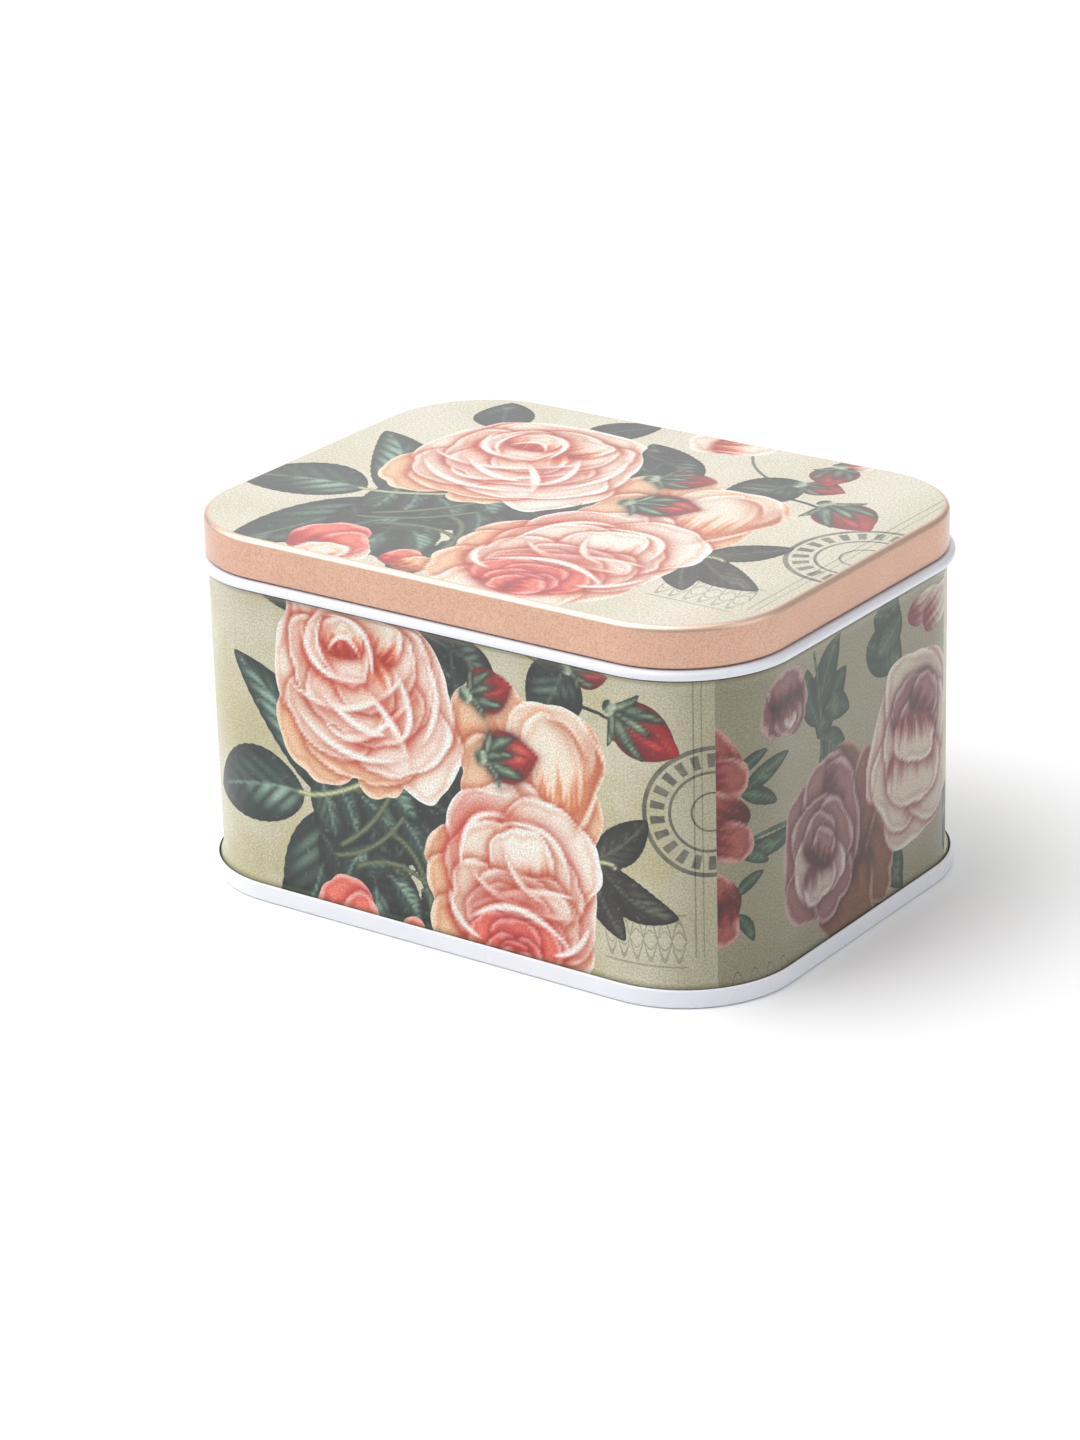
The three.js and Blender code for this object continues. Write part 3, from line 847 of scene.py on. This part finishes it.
def pen_work(shader, x, y):
    """Generic pen work of the front's picture, without any lettering: three rings with ticks between the
    outer two, two ruled lines, and a plait of four sine waves between two more lines."""
    middle = (48.0, 31.0)
    outer, far = ring(shader, x, y, middle, 10.0, 0.7)
    inner, _ = ring(shader, x, y, middle, 6.2, 0.45)
    core, _ = ring(shader, x, y, middle, 3.0, 0.3)
    turn = shader.math("ARCTAN2", y - middle[1], x - middle[0])
    tick = line(shader, (turn * 3.5) % 1 - 0.5, 0.5) * shader.smooth(abs(far - 8.1), 1.15, 1.05)
    stamp = shader.math("MINIMUM", outer + inner + core + tick, 1.0)
    ruled = line(shader, x - 45.4, 0.25) + line(shader, x - 46.6, 0.18)
    ruled = ruled * shader.smooth(y, 7.9, 8.1) * 0.55
    wave = shader.math("SINE", (x - 31.0) * 1.45)
    plait = line(shader, abs(y - 10.5) - 4.2, 0.3)
    for reach, width in ((3.2, 0.9), (-3.2, 0.9), (1.5, 0.3), (-1.5, 0.3)):
        plait = plait + line(shader, y - 10.5 - wave * reach, width)
    plait = plait * shader.smooth(x, 30.8, 31.2) * shader.smooth(x, 44.2, 43.8)
    return stamp * 0.95 + ruled + shader.math("MINIMUM", plait, 1.0) * 0.5


def flourish(shader, x, y):
    """A wavy pen line, a sine, along the foot of the ends' picture."""
    wave = shader.math("SINE", x * 2.1)
    band = shader.smooth(x, 49.5, 50.5) * shader.smooth(x, 64.0, 62.0)
    return line(shader, y - 3.6 - wave * 1.1, 0.22) * band * 0.8


print("the pen's ink gives back", f"{PEN[0]:.0%} of the light")

# %% Old paper, ink, wear and painted light
WALL_PAPER = rgb(214, 209, 184), rgb(198, 190, 148), rgb(160, 155, 126)
LID_PAPER = rgb(232, 225, 207), rgb(222, 215, 190), rgb(206, 200, 174)
# the ends' paper: olive, and darker partly as painted shade of the ends
ENDS_PAPER_AND_SHADE = rgb(164, 160, 138)
CORNER_DARKEST_AT = 50.0  # round the wall, where the paper is drawn darkest, near the corner between the front and the end


def old_and_shaded_paper(shader, flat, x, on_side, papers):
    """Clean paper clouded with stains, aged in blots and along its fibres, darker near the corner, and on the
    ends olive and darker, partly as painted shade. Gives the blots too, because they also pale the pen work."""
    clean, stained, old = papers
    stain = shader.noise(flat, 0.06, 4, 0.6)
    blot = shader.noise(flat, 0.22, 5, 0.65)
    fibre = shader.noise(shader.stretch(flat, (1.4, 0.12, 1.0)), 1.0, 3)
    color = shader.mix(clean, stained, shader.smooth(stain, 0.40, 0.62) * 0.85)
    color = shader.mix(color, old, shader.smooth(blot, 0.56, 0.74) * 0.35)
    color = shader.mix(color, old, shader.smooth(fibre, 0.5, 0.8) * 0.25)
    # on the ends the paper turns olive and darker, the darkness partly painted shade
    color = shader.mix(color, ENDS_PAPER_AND_SHADE, on_side * 0.8)
    # darker near that corner, in the old paper's colour
    return shader.mix(color, old, shader.smooth(abs(x - CORNER_DARKEST_AT), 13, 2, 0.0, 0.6)), blot


def painted(shader, color):
    """The leaves, then the flowers, over a colour: each layer is cut where its depth passes zero."""
    for layer in ("leaf", "flower"):
        paint = shader.node("ShaderNodeAttribute", {"attribute_name": layer + "_color"})
        depth = shader.node("ShaderNodeAttribute", {"attribute_name": layer + "_depth"}, output="Fac")
        color = shader.mix(color, paint, shader.smooth(depth, -0.07, 0.07))
    return color


def wear_and_painted_light(shader, flat, color, on_side, painted_sheen, grain):
    """A print washed out in patches, darkened on the ends as painted shade, lightened by painted sheen, and
    broken up by the grain.
    """
    wash = shader.noise(flat, 0.7, 4, 0.7)
    color = shader.mix(color, rgb(236, 232, 220), shader.smooth(wash, 0.55, 0.85) * 0.25)
    # painted shade: the ends' print is darkened
    color = shader.mix(color, rgb(228, 226, 222), on_side, "MULTIPLY")
    # painted sheen: the print is lightened towards a pale grey
    color = shader.mix(color, rgb(240, 236, 230), painted_sheen)
    dark = shader.mix(color, rgb(110, 104, 92), 0.5, "MULTIPLY")
    return shader.mix(dark, color, shader.smooth(grain, 0.30, 0.72))


def painted_shade_bands(shader, at, color):
    """Painted shade: darker bands just under the bead and just over the rim, where the wall runs in."""
    z = shader.parts(at)[2]
    under_bead = lid_low[2] - SKIRT_GAP - 2 * BEAD_RADIUS
    over_rim = foot_high[2]
    upper = shader.smooth(z, under_bead - 1.1, under_bead - 0.1)
    lower = shader.smooth(z, over_rim + 0.9, over_rim)
    # painted shade: a dark olive laid over the print in both bands
    return shader.mix(color, rgb(88, 84, 62), (upper + lower) * 0.5)


print(f"the oldest paper of the wall gives back {WALL_PAPER[2][0]:.0%} of the light, its cleanest "
      f"{WALL_PAPER[0][0]:.0%}")


# %% Copper lacquer
PRINT_INSET = 0.55  # from the plan to where the lid's picture stops


def copper_edge(shader, at, color, rough, grain):
    """Copper lacquer outside a rounded rectangle: how far a point lies outside it is the length of its
    offset from the rectangle's inner corners, less the corner radius."""
    x, y, z = shader.parts(at)
    gap_x, gap_y = abs(x) - straight_x, abs(y) - straight_y
    corner = (shader.math("MAXIMUM", gap_x, 0) ** 2 + shader.math("MAXIMUM", gap_y, 0) ** 2) ** 0.5
    flat = shader.math("MINIMUM", shader.math("MAXIMUM", gap_x, gap_y), 0)
    outside = corner + flat - (CORNER - PRINT_INSET)
    cloud = shader.noise(at, 0.10, 3)
    fleck = shader.noise(at, 4.6, 2, 0.8)
    copper = shader.mix(rgb(224, 184, 162), rgb(208, 164, 140), cloud)
    copper = shader.mix(copper, rgb(160, 112, 86), shader.smooth(fleck, 0.42, 0.66) * 0.5)
    # painted highlight: the copper is paler along the top of the skirt, just under the lid's rounded edge
    painted_edge_highlight = shader.smooth(z, lid_high[2] - 1.1, lid_high[2] - 0.4)
    copper = shader.mix(copper, rgb(246, 222, 204), painted_edge_highlight * 0.5)
    is_copper = shader.smooth(outside + (grain - 0.5) * 0.06, -0.03, 0.03)
    return shader.mix(color, copper, is_copper), rough - is_copper * 0.06, is_copper * 0.8


print(f"the lid's picture is {2 * (half_length - PRINT_INSET):.1f} mm long and "
      f"{2 * (half_width - PRINT_INSET):.1f} mm deep")

# %% The whole print
def printed(name, where, papers, painted_sheen, haze, copper=False):
    """The printed finish. where gives the picture's x and y from the shader, papers are the clean, stained
    and aged paper, painted_sheen is how far the print is lightened as a painted sheen, haze is the
    varnish's roughness, and copper adds the lid's copper lacquer outside its picture."""
    shader = Shader(name)
    at = shader.object_mm()
    x, y = where(shader)
    flat = shader.node("ShaderNodeCombineXYZ", None, {0: x, 1: y})
    on_side = shader.smooth(x, FRONT_END - JOIN, FRONT_END + JOIN)
    color, blot = old_and_shaded_paper(shader, flat, x, on_side, papers)
    pen = pen_work(shader, x, y) * (1 - on_side) + flourish(shader, x, y)
    color = shader.mix(color, PEN, pen * shader.smooth(blot, 0.3, 0.7, 0.95, 0.7))
    grain = shader.noise(flat, 3.2, 2, 0.8)
    color = wear_and_painted_light(shader, flat, painted(shader, color), on_side, painted_sheen, grain)
    rough, metal = 0.42 + grain * 0.12, 0.0
    if copper:
        color, rough, metal = copper_edge(shader, at, color, rough, grain)
    else:
        # painted shade on the wall, under the bead and over the rim
        color = painted_shade_bands(shader, at, color)
    return shader.finish({
        "Base Color": color,
        "Roughness": rough,
        "Metallic": metal,
        "Normal": shader.bump(grain, 0.5, 0.05),
        "Coat Weight": 0.5,
        "Coat Roughness": haze,
    })

# %% [markdown]
# ## Sheet metal carried round the plan
# Every piece is thin sheet bent to one section and carried round the same rounded rectangle, so one
# function bends the section, one thickens it, and one carries it round. In the section, n is the distance
# outwards from the wall's outer face and z is the height, both in millimetres.
# %% Bending the sheet


def arc(n, z, radius, start, stop, steps=10):
    """Points on an arc of the section about (n, z), between two angles in degrees."""
    turn = np.radians(np.linspace(start, stop, steps + 1))
    return np.stack([n + radius * np.cos(turn), z + radius * np.sin(turn)], -1)


def lengths(centre):
    """How long each stretch of a line is."""
    return np.hypot(*np.diff(centre, axis=0).T)


def join(*runs):
    """One centreline from several runs of points, without doubled points where they meet."""
    centre = np.concatenate([np.atleast_2d(run) for run in runs])
    return centre[np.r_[True, lengths(centre) > 1e-6]]


def split(centre, longest):
    """The same line with points added so that no stretch is longer than a given length."""
    far = np.r_[0, np.cumsum(lengths(centre))]
    runs = [np.linspace(a, b, math.ceil((b - a) / longest), endpoint=False) for a, b in zip(far, far[1:])]
    at = np.r_[np.concatenate(runs), far[-1]]
    return np.stack([np.interp(at, far, centre[:, k]) for k in (0, 1)], -1)


def offset(centre, distance):
    """The line moved sideways to its left, mitred: each point moves along the mean of its two normals."""
    along = np.diff(centre, axis=0)
    along /= np.hypot(*along.T)[:, None]
    normal = np.stack([-along[:, 1], along[:, 0]], -1)
    before, after = np.concatenate([normal[:1], normal]), np.concatenate([normal, normal[-1:]])
    return centre + distance * (before + after) / (1 + (before * after).sum(1))[:, None]


def sheet(centre, right_step=30, left_step=30):
    """The closed outline of a sheet along a centreline, anticlockwise: its right face, then its left face
    backwards, each with no step longer than given. The second result is true on the right face."""
    right_face = split(offset(centre, -SHEET / 2), right_step)
    left_face = split(offset(centre, SHEET / 2), left_step)[::-1]
    outline = np.concatenate([right_face, left_face])
    is_right = np.arange(len(outline)) < len(right_face)
    n, z = outline.T
    if (n * np.roll(z, -1) - np.roll(n, -1) * z).sum() < 0:
        outline, is_right = outline[::-1], is_right[::-1]
    return outline, is_right


print("a quarter bend of 1 mm radius is", round(lengths(arc(0, 0, 1, 0, 90)).sum(), 3), "mm long")


# %% Carrying it round
def sweep(outline, u):
    """Carries an outline round the plan: every point of the outline at every distance u."""
    face, out = plan(u)
    flat = face[None] + outline[:, 0, None, None] * out[None]
    height = np.broadcast_to(outline[:, 1, None], flat.shape[:2])
    return np.concatenate([flat, height[..., None]], -1)


def shrink(row, shares):
    """Rings inside a ring of a flat panel: the ring drawn smaller about the box's middle."""
    rings = np.repeat(row[None], len(shares), 0)
    rings[..., :2] *= np.asarray(shares)[:, None, None]
    return rings


print("two points of a section at three places round the box:", sweep(np.eye(2), np.arange(3)).shape)


# %% Making the mesh
SHARP_ANGLE = 50  # degrees between two faces, from which the edge between them is shaded sharp


def faces(count, around, is_ring):
    """The faces between rows of points: a quad from every point to the next one and the row above, and for
    a pan two fans of triangles from its first and last rows to the two middle points that follow."""
    i = np.arange(around)
    j = (i + 1) % around
    row = np.arange(count if is_ring else count - 1)[:, None] * around
    above = (row + around) % (count * around)
    quads = np.stack([row + i, row + j, above + j, above + i], -1).reshape(-1, 4)
    if is_ring:
        return quads, np.zeros((0, 3), int)
    under, last = count * around, (count - 1) * around
    fan_under = np.stack([0 * i + under, j, i], -1)
    fan_top = np.stack([0 * i + under + 1, last + i, last + j], -1)
    return quads, np.concatenate([fan_under, fan_top])


def skin(name, rows, is_ring, materials, second=None):
    """A closed mesh from rows of points, each a ring round the box. A ring's last row joins its first; a
    pan's first and last rows close to middle points. second says which rows take the second material."""
    count, around = rows.shape[:2]
    quads, fans = faces(count, around, is_ring)
    points = rows.reshape(-1, 3)
    if not is_ring:
        points = np.concatenate([points, [[0, 0, rows[0, 0, 2]], [0, 0, rows[-1, 0, 2]]]])
    sizes = np.r_[np.full(len(quads), 4), np.full(len(fans), 3)]
    mesh = bpy.data.meshes.new(name)
    mesh.vertices.add(len(points))
    mesh.vertices.foreach_set("co", (points * MM).ravel())
    mesh.loops.add(sizes.sum())
    mesh.loops.foreach_set("vertex_index", np.r_[quads.ravel(), fans.ravel()])
    mesh.polygons.add(len(sizes))
    mesh.polygons.foreach_set("loop_start", np.r_[0, np.cumsum(sizes)[:-1]])
    mesh.polygons.foreach_set("use_smooth", np.ones(len(sizes), bool))
    for material in materials:
        mesh.materials.append(material)
    if second is not None:
        chosen = np.repeat(second[:len(quads) // around], around)
        caps = np.repeat([second[0], second[-1]], around) if not is_ring else []
        mesh.polygons.foreach_set("material_index", np.r_[chosen, caps].astype(int))
    mesh.update(calc_edges=True)
    mesh.set_sharp_from_angle(angle=math.radians(SHARP_ANGLE))
    piece = bpy.data.objects.new(name, mesh)
    bpy.context.collection.objects.link(piece)
    print(f"{name}: {len(points)} points, {len(quads) * 2 + len(fans)} triangles")
    return piece


def fit(piece, body, node):
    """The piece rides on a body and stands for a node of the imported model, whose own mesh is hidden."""
    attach(piece, body)
    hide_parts(node)


# %% [markdown]
# ## Neck ring
# The neck is the strip that the lid slides over. Its top edge is curled inwards so that the mouth isn't
# sharp, and its lower edge is rolled into the fat white bead that hides the wall's top edge. The roll is
# a round bend of the sheet, so it is swept with it.
# %% Neck ring
LID_PLAY = 0.35  # all round, between the lid's hem and the neck
HEM_RADIUS = 0.2  # of the fold at the lid's lower edge, at the middle of the sheet as for all bends
CURL_RADIUS = 0.3  # of the mouth's inward curl
CURL_LEG = 0.4  # height of the curl's straight end
NECK_FOOT = 0.4  # radius where the neck turns out into the bead
BEAD_END = -30  # degrees from the outermost point, where the rolled sheet stops
ROUND_POINTS = 440  # in each row of points round a plain piece
bead_n = BEAD_OVERHANG - BEAD_RADIUS
bead_z = lid_low[2] - SKIRT_GAP - BEAD_RADIUS
bead_sheet = BEAD_RADIUS - SHEET / 2
lid_n = lid_high[0] - half_length - SHEET / 2
hem_n = lid_n - 2 * HEM_RADIUS
neck_n = hem_n - SHEET - LID_PLAY
curl_z = neck_high[2] - SHEET / 2 - CURL_RADIUS
rounds = np.linspace(-half_turn, half_turn, ROUND_POINTS, endpoint=False)
outline, _ = sheet(join(
    (neck_n - 2 * CURL_RADIUS, curl_z - CURL_LEG),
    arc(neck_n - CURL_RADIUS, curl_z, CURL_RADIUS, 180, 0),
    arc(neck_n + NECK_FOOT, bead_z + bead_sheet + NECK_FOOT, NECK_FOOT, 180, 270),
    arc(bead_n, bead_z, bead_sheet, 90, BEAD_END, 24),
))
neck = skin("white_neck_ring", sweep(outline, rounds), True, [enamel])
fit(neck, "tin_body", "neck_ring")

# %% [markdown]
# ## Printed wall
# The wall is one strip bent round the box, lapped and welded up the middle of the back. It is straight
# for most of its height and sweeps out at both ends into the bead and the rim. Its outer face has a point
# about every 0.5 mm, close enough to hold the painted layers; the inner face needs far fewer.
# %% Wall section
FLARE = 2.3  # height over which the wall sweeps out
FLANGE_GAP = 0.375  # between the bottom flange and the rim that wraps it
FLANGE_ANGLE = -65  # degrees round the bead where the wall's top edge enters it
OUTER_STEP, INNER_STEP = 0.45, 12
rim_n = foot_high[0] - half_length - SHEET / 2
flange_n = rim_n - SHEET - FLANGE_GAP
top_n = bead_n + bead_sheet * math.cos(math.radians(FLANGE_ANGLE))
top_z = bead_z + bead_sheet * math.sin(math.radians(FLANGE_ANGLE))


def flare(n, z, direction):
    """The wall's sweep outwards to a point (n, z): an arc that starts upright, one flare height away."""
    turn = 2 * math.atan2(n + SHEET / 2, FLARE)
    radius = FLARE / math.sin(turn)
    stop = 180 - direction * math.degrees(turn)
    return arc(radius - SHEET / 2, z - direction * FLARE, radius, 180, stop)


outline, is_outer = sheet(join(
    (flange_n, wall_low[2]),
    flare(flange_n, foot_high[2], -1)[::-1],
    flare(top_n, top_z, 1),
), OUTER_STEP, INNER_STEP)
print(f"the wall's section has {len(outline)} points, {is_outer.sum()} of them on its outer face")

# %% Wall mesh and its lap seam
FINE_START, FINE_END = -62, 110  # round the wall, where the front and the right end are
FINE_STEP, COARSE_STEP = 0.47, 0.57
LAP = 6  # how far back from the seam the lapped sheet starts to rise
LAP_HEIGHT = 0.14
fine = np.arange(FINE_START, FINE_END, FINE_STEP)
coarse = np.r_[np.arange(FINE_END, half_turn - LAP, COARSE_STEP),
               np.arange(LAP - half_turn, FINE_START, COARSE_STEP)]
near_seam = half_turn - np.array([LAP, 5, 4, 3, 2, 1, 0.4, 0.15, 0.05, 0])
joins = np.array([FRONT_END, FRONT_END - half_turn, FRONT_START, FRONT_START + half_turn])
u_wall = np.r_[fine, coarse, near_seam, -near_seam[:-1], joins - JOIN, joins + JOIN]
u_wall = np.unique(np.round(u_wall[np.abs(u_wall) <= half_turn], 3))
u_wall = u_wall[u_wall > -half_turn]
rows = sweep(outline, u_wall)
past_seam = u_wall + half_turn
raised = LAP_HEIGHT * np.where(u_wall < 0, step(LAP, 0, past_seam) * step(0.0, 0.12, past_seam), 0)
rows[is_outer, :, :2] += (raised[:, None] * plan(u_wall)[1])[None]
print(f"{len(u_wall)} columns of points round the wall")


# %% Wall finish
def picture_x(u):
    """The pictures repeat every half turn: a distance round the wall as a distance across them."""
    return (u - FRONT_START) % half_turn + FRONT_START


def unrolled(shader):
    """The picture's x and y on the wall, from the sheet's own flat map, which is in millimetres."""
    u, z, _ = shader.parts(shader.node("ShaderNodeUVMap", {"uv_map": "unrolled"}))
    return picture_x(u), z


body_print = printed("body_print", unrolled, WALL_PAPER, 0.0, 0.25)
wall = skin("printed_body_wall", rows, True, [body_print, bare], ~is_outer)
wall_z = rows[..., 2]
x, z = np.broadcast_to(picture_x(u_wall), wall_z.shape).ravel(), wall_z.ravel()
outside = np.repeat(is_outer, len(u_wall))
layers = [Layer(x, z), Layer(x, z)]
paint_part(layers, outside & (x < FRONT_END), front_picture, x, z)
paint_part(layers, outside & (x >= FRONT_END), side_picture, x - FRONT_END, z)
carry(wall.data, *layers)

# the flat map is kept on the corners of the faces, so that it may jump where the strip closes
u_next = np.r_[u_wall[1:], u_wall[0] + 2 * half_turn]
u_left, u_right = (np.broadcast_to(u, wall_z.shape) for u in (u_wall, u_next))
z_above = np.roll(wall_z, -1, 0)
corners = ((u_left, wall_z), (u_right, wall_z), (u_right, z_above), (u_left, z_above))
flat_map = np.stack([np.stack(corner, -1) for corner in corners], 2)
wall.data.uv_layers.new(name="unrolled").data.foreach_set("uv", flat_map.ravel())
fit(wall, "tin_body", "body_wall")

# %% [markdown]
# ## Bottom plate
# A shallow pressing: its panel is raised so that the box stands on a narrow ring, and its edge is wrapped
# up round the wall as the white rim. The section stops a little way into the panel, and smaller and
# smaller rings close it.
# %% Bottom plate
PANEL_RECESS = 1.5  # underside of the panel above the ground
PANEL_BEND = 0.3  # radius of the panel's two bends
PANEL_GAP = 0.2  # between the wall's inner face and the plate's upright
PANEL_RUN = 1.5  # flat part of the panel in the section
RIM_FOOT = 0.45  # radius of the rim's lower edge
RIM_HOOK = 0.2  # radius of the rim's top edge, turned in against the wall
RING_SHARES = np.array([0.04, 0.2, 0.4, 0.6, 0.75, 0.9])
upright_n = -SHEET - PANEL_GAP - SHEET / 2
panel_z = PANEL_RECESS + SHEET / 2
outline, _ = sheet(join(
    (upright_n - PANEL_RUN, panel_z),
    arc(upright_n - PANEL_BEND, panel_z - PANEL_BEND, PANEL_BEND, 90, 0),
    arc(upright_n + PANEL_BEND, SHEET / 2 + PANEL_BEND, PANEL_BEND, 180, 270),
    arc(rim_n - RIM_FOOT, SHEET / 2 + RIM_FOOT, RIM_FOOT, 270, 360),
    arc(rim_n - RIM_HOOK, foot_high[2] - SHEET / 2 - RIM_HOOK, RIM_HOOK, 0, 90),
), 2, 2)
rows = sweep(outline, rounds)
rows = np.concatenate([shrink(rows[0], RING_SHARES), rows, shrink(rows[-1], RING_SHARES[::-1])])
plate = skin("white_bottom_plate", rows, False, [enamel])
fit(plate, "tin_body", "bottom_plate")

# %% [markdown]
# ## Lid
# The lid is drawn from one sheet: flat top, small rounded edge, skirt, and a hem folded up inside so that
# the lower edge is smooth. Its picture stops just inside the rounded edge, and everything outside it is
# copper lacquer. The top's rings are close enough to carry the paint.
# %% Lid mesh
LID_EDGE = 1  # outside radius between the top and the skirt
HEM_LEG = 0.9  # height of the part that is folded back up inside
TOP_RUN = 0.5  # flat part of the top in the section
LID_POINTS = 540  # in each row of points round the lid
TOP_RINGS = 118
LAST_RING = 0.02  # size of the innermost ring against the first
edge = LID_EDGE - SHEET / 2
top = lid_high[2] - SHEET / 2
hem_z = lid_low[2] + SHEET / 2 + HEM_RADIUS
outline, is_inner = sheet(join(
    (lid_n - edge - TOP_RUN, top),
    arc(lid_n - edge, top - edge, edge, 90, 0, 12),
    arc(lid_n - HEM_RADIUS, hem_z, HEM_RADIUS, 0, -180),
    (hem_n, hem_z + HEM_LEG),
), 1.5, 1.5)
rows = sweep(outline, np.linspace(-half_turn, half_turn, LID_POINTS, endpoint=False))
under = shrink(rows[0], RING_SHARES)
over = shrink(rows[-1], np.linspace(1, LAST_RING, TOP_RINGS + 1)[1:])
rows = np.concatenate([under, rows, over])
is_inside = np.r_[np.ones(len(under), bool), is_inner, np.zeros(len(over), bool)]
print(f"the lid has {len(under)} rings inside, {len(outline)} round its edge and {len(over)} on top")

# %% Lid finish
PRINT_SCALE_X, PRINT_SCALE_Y = 1.135, 1.18
PRINT_X, PRINT_Y = -3.9, -34.6  # where the front picture's own middle and ground fall on the lid


def lid_picture(x, y):
    """The front picture's x and y at a place on the lid, where it is printed larger and further back."""
    return (x - PRINT_X) / PRINT_SCALE_X, (y - PRINT_Y) / PRINT_SCALE_Y


def on_lid(shader):
    """The front picture's x and y for the material, from where the point is on the box."""
    x, y, _ = shader.parts(shader.object_mm())
    return lid_picture(x, y)


# the lid's print is lightened by 0.10 as a painted sheen of its varnish
lid_print = printed("lid_print", on_lid, LID_PAPER, 0.10, 0.2, True)
lid = skin("printed_lid", rows, False, [lid_print, bare], is_inside)
x, y, z = np.concatenate([rows.reshape(-1, 3), np.zeros((2, 3))]).T  # the two middle points stay bare
layers = [Layer(x, y), Layer(x, y)]
paint_part(layers, z > lid_high[2] - 1e-3, front_picture, *lid_picture(x, y))
carry(lid.data, *layers)
fit(lid, "lid", "lid")

# %% [markdown]
# ## Floor
# The floor is the studio's, not a part of the box: one large matte white square, far wider than the view,
# so that its edges are never seen.
# %% Floor
FLOOR_REACH = 8  # metres from the box to the floor's edges
floor_mesh = bpy.data.meshes.new("floor")
corners = [(x * FLOOR_REACH, y * FLOOR_REACH, 0) for x, y in ((-1, -1), (1, -1), (1, 1), (-1, 1))]
floor_mesh.from_pydata(corners, [], [(0, 1, 2, 3)])
floor = bpy.data.objects.new("floor", floor_mesh)
bpy.context.collection.objects.link(floor)
matte = Shader("floor")
floor.data.materials.append(matte.finish({"Base Color": (0.9, 0.9, 0.9, 1), "Roughness": 0.9}))
print("the floor is", 2 * FLOOR_REACH, "m square")
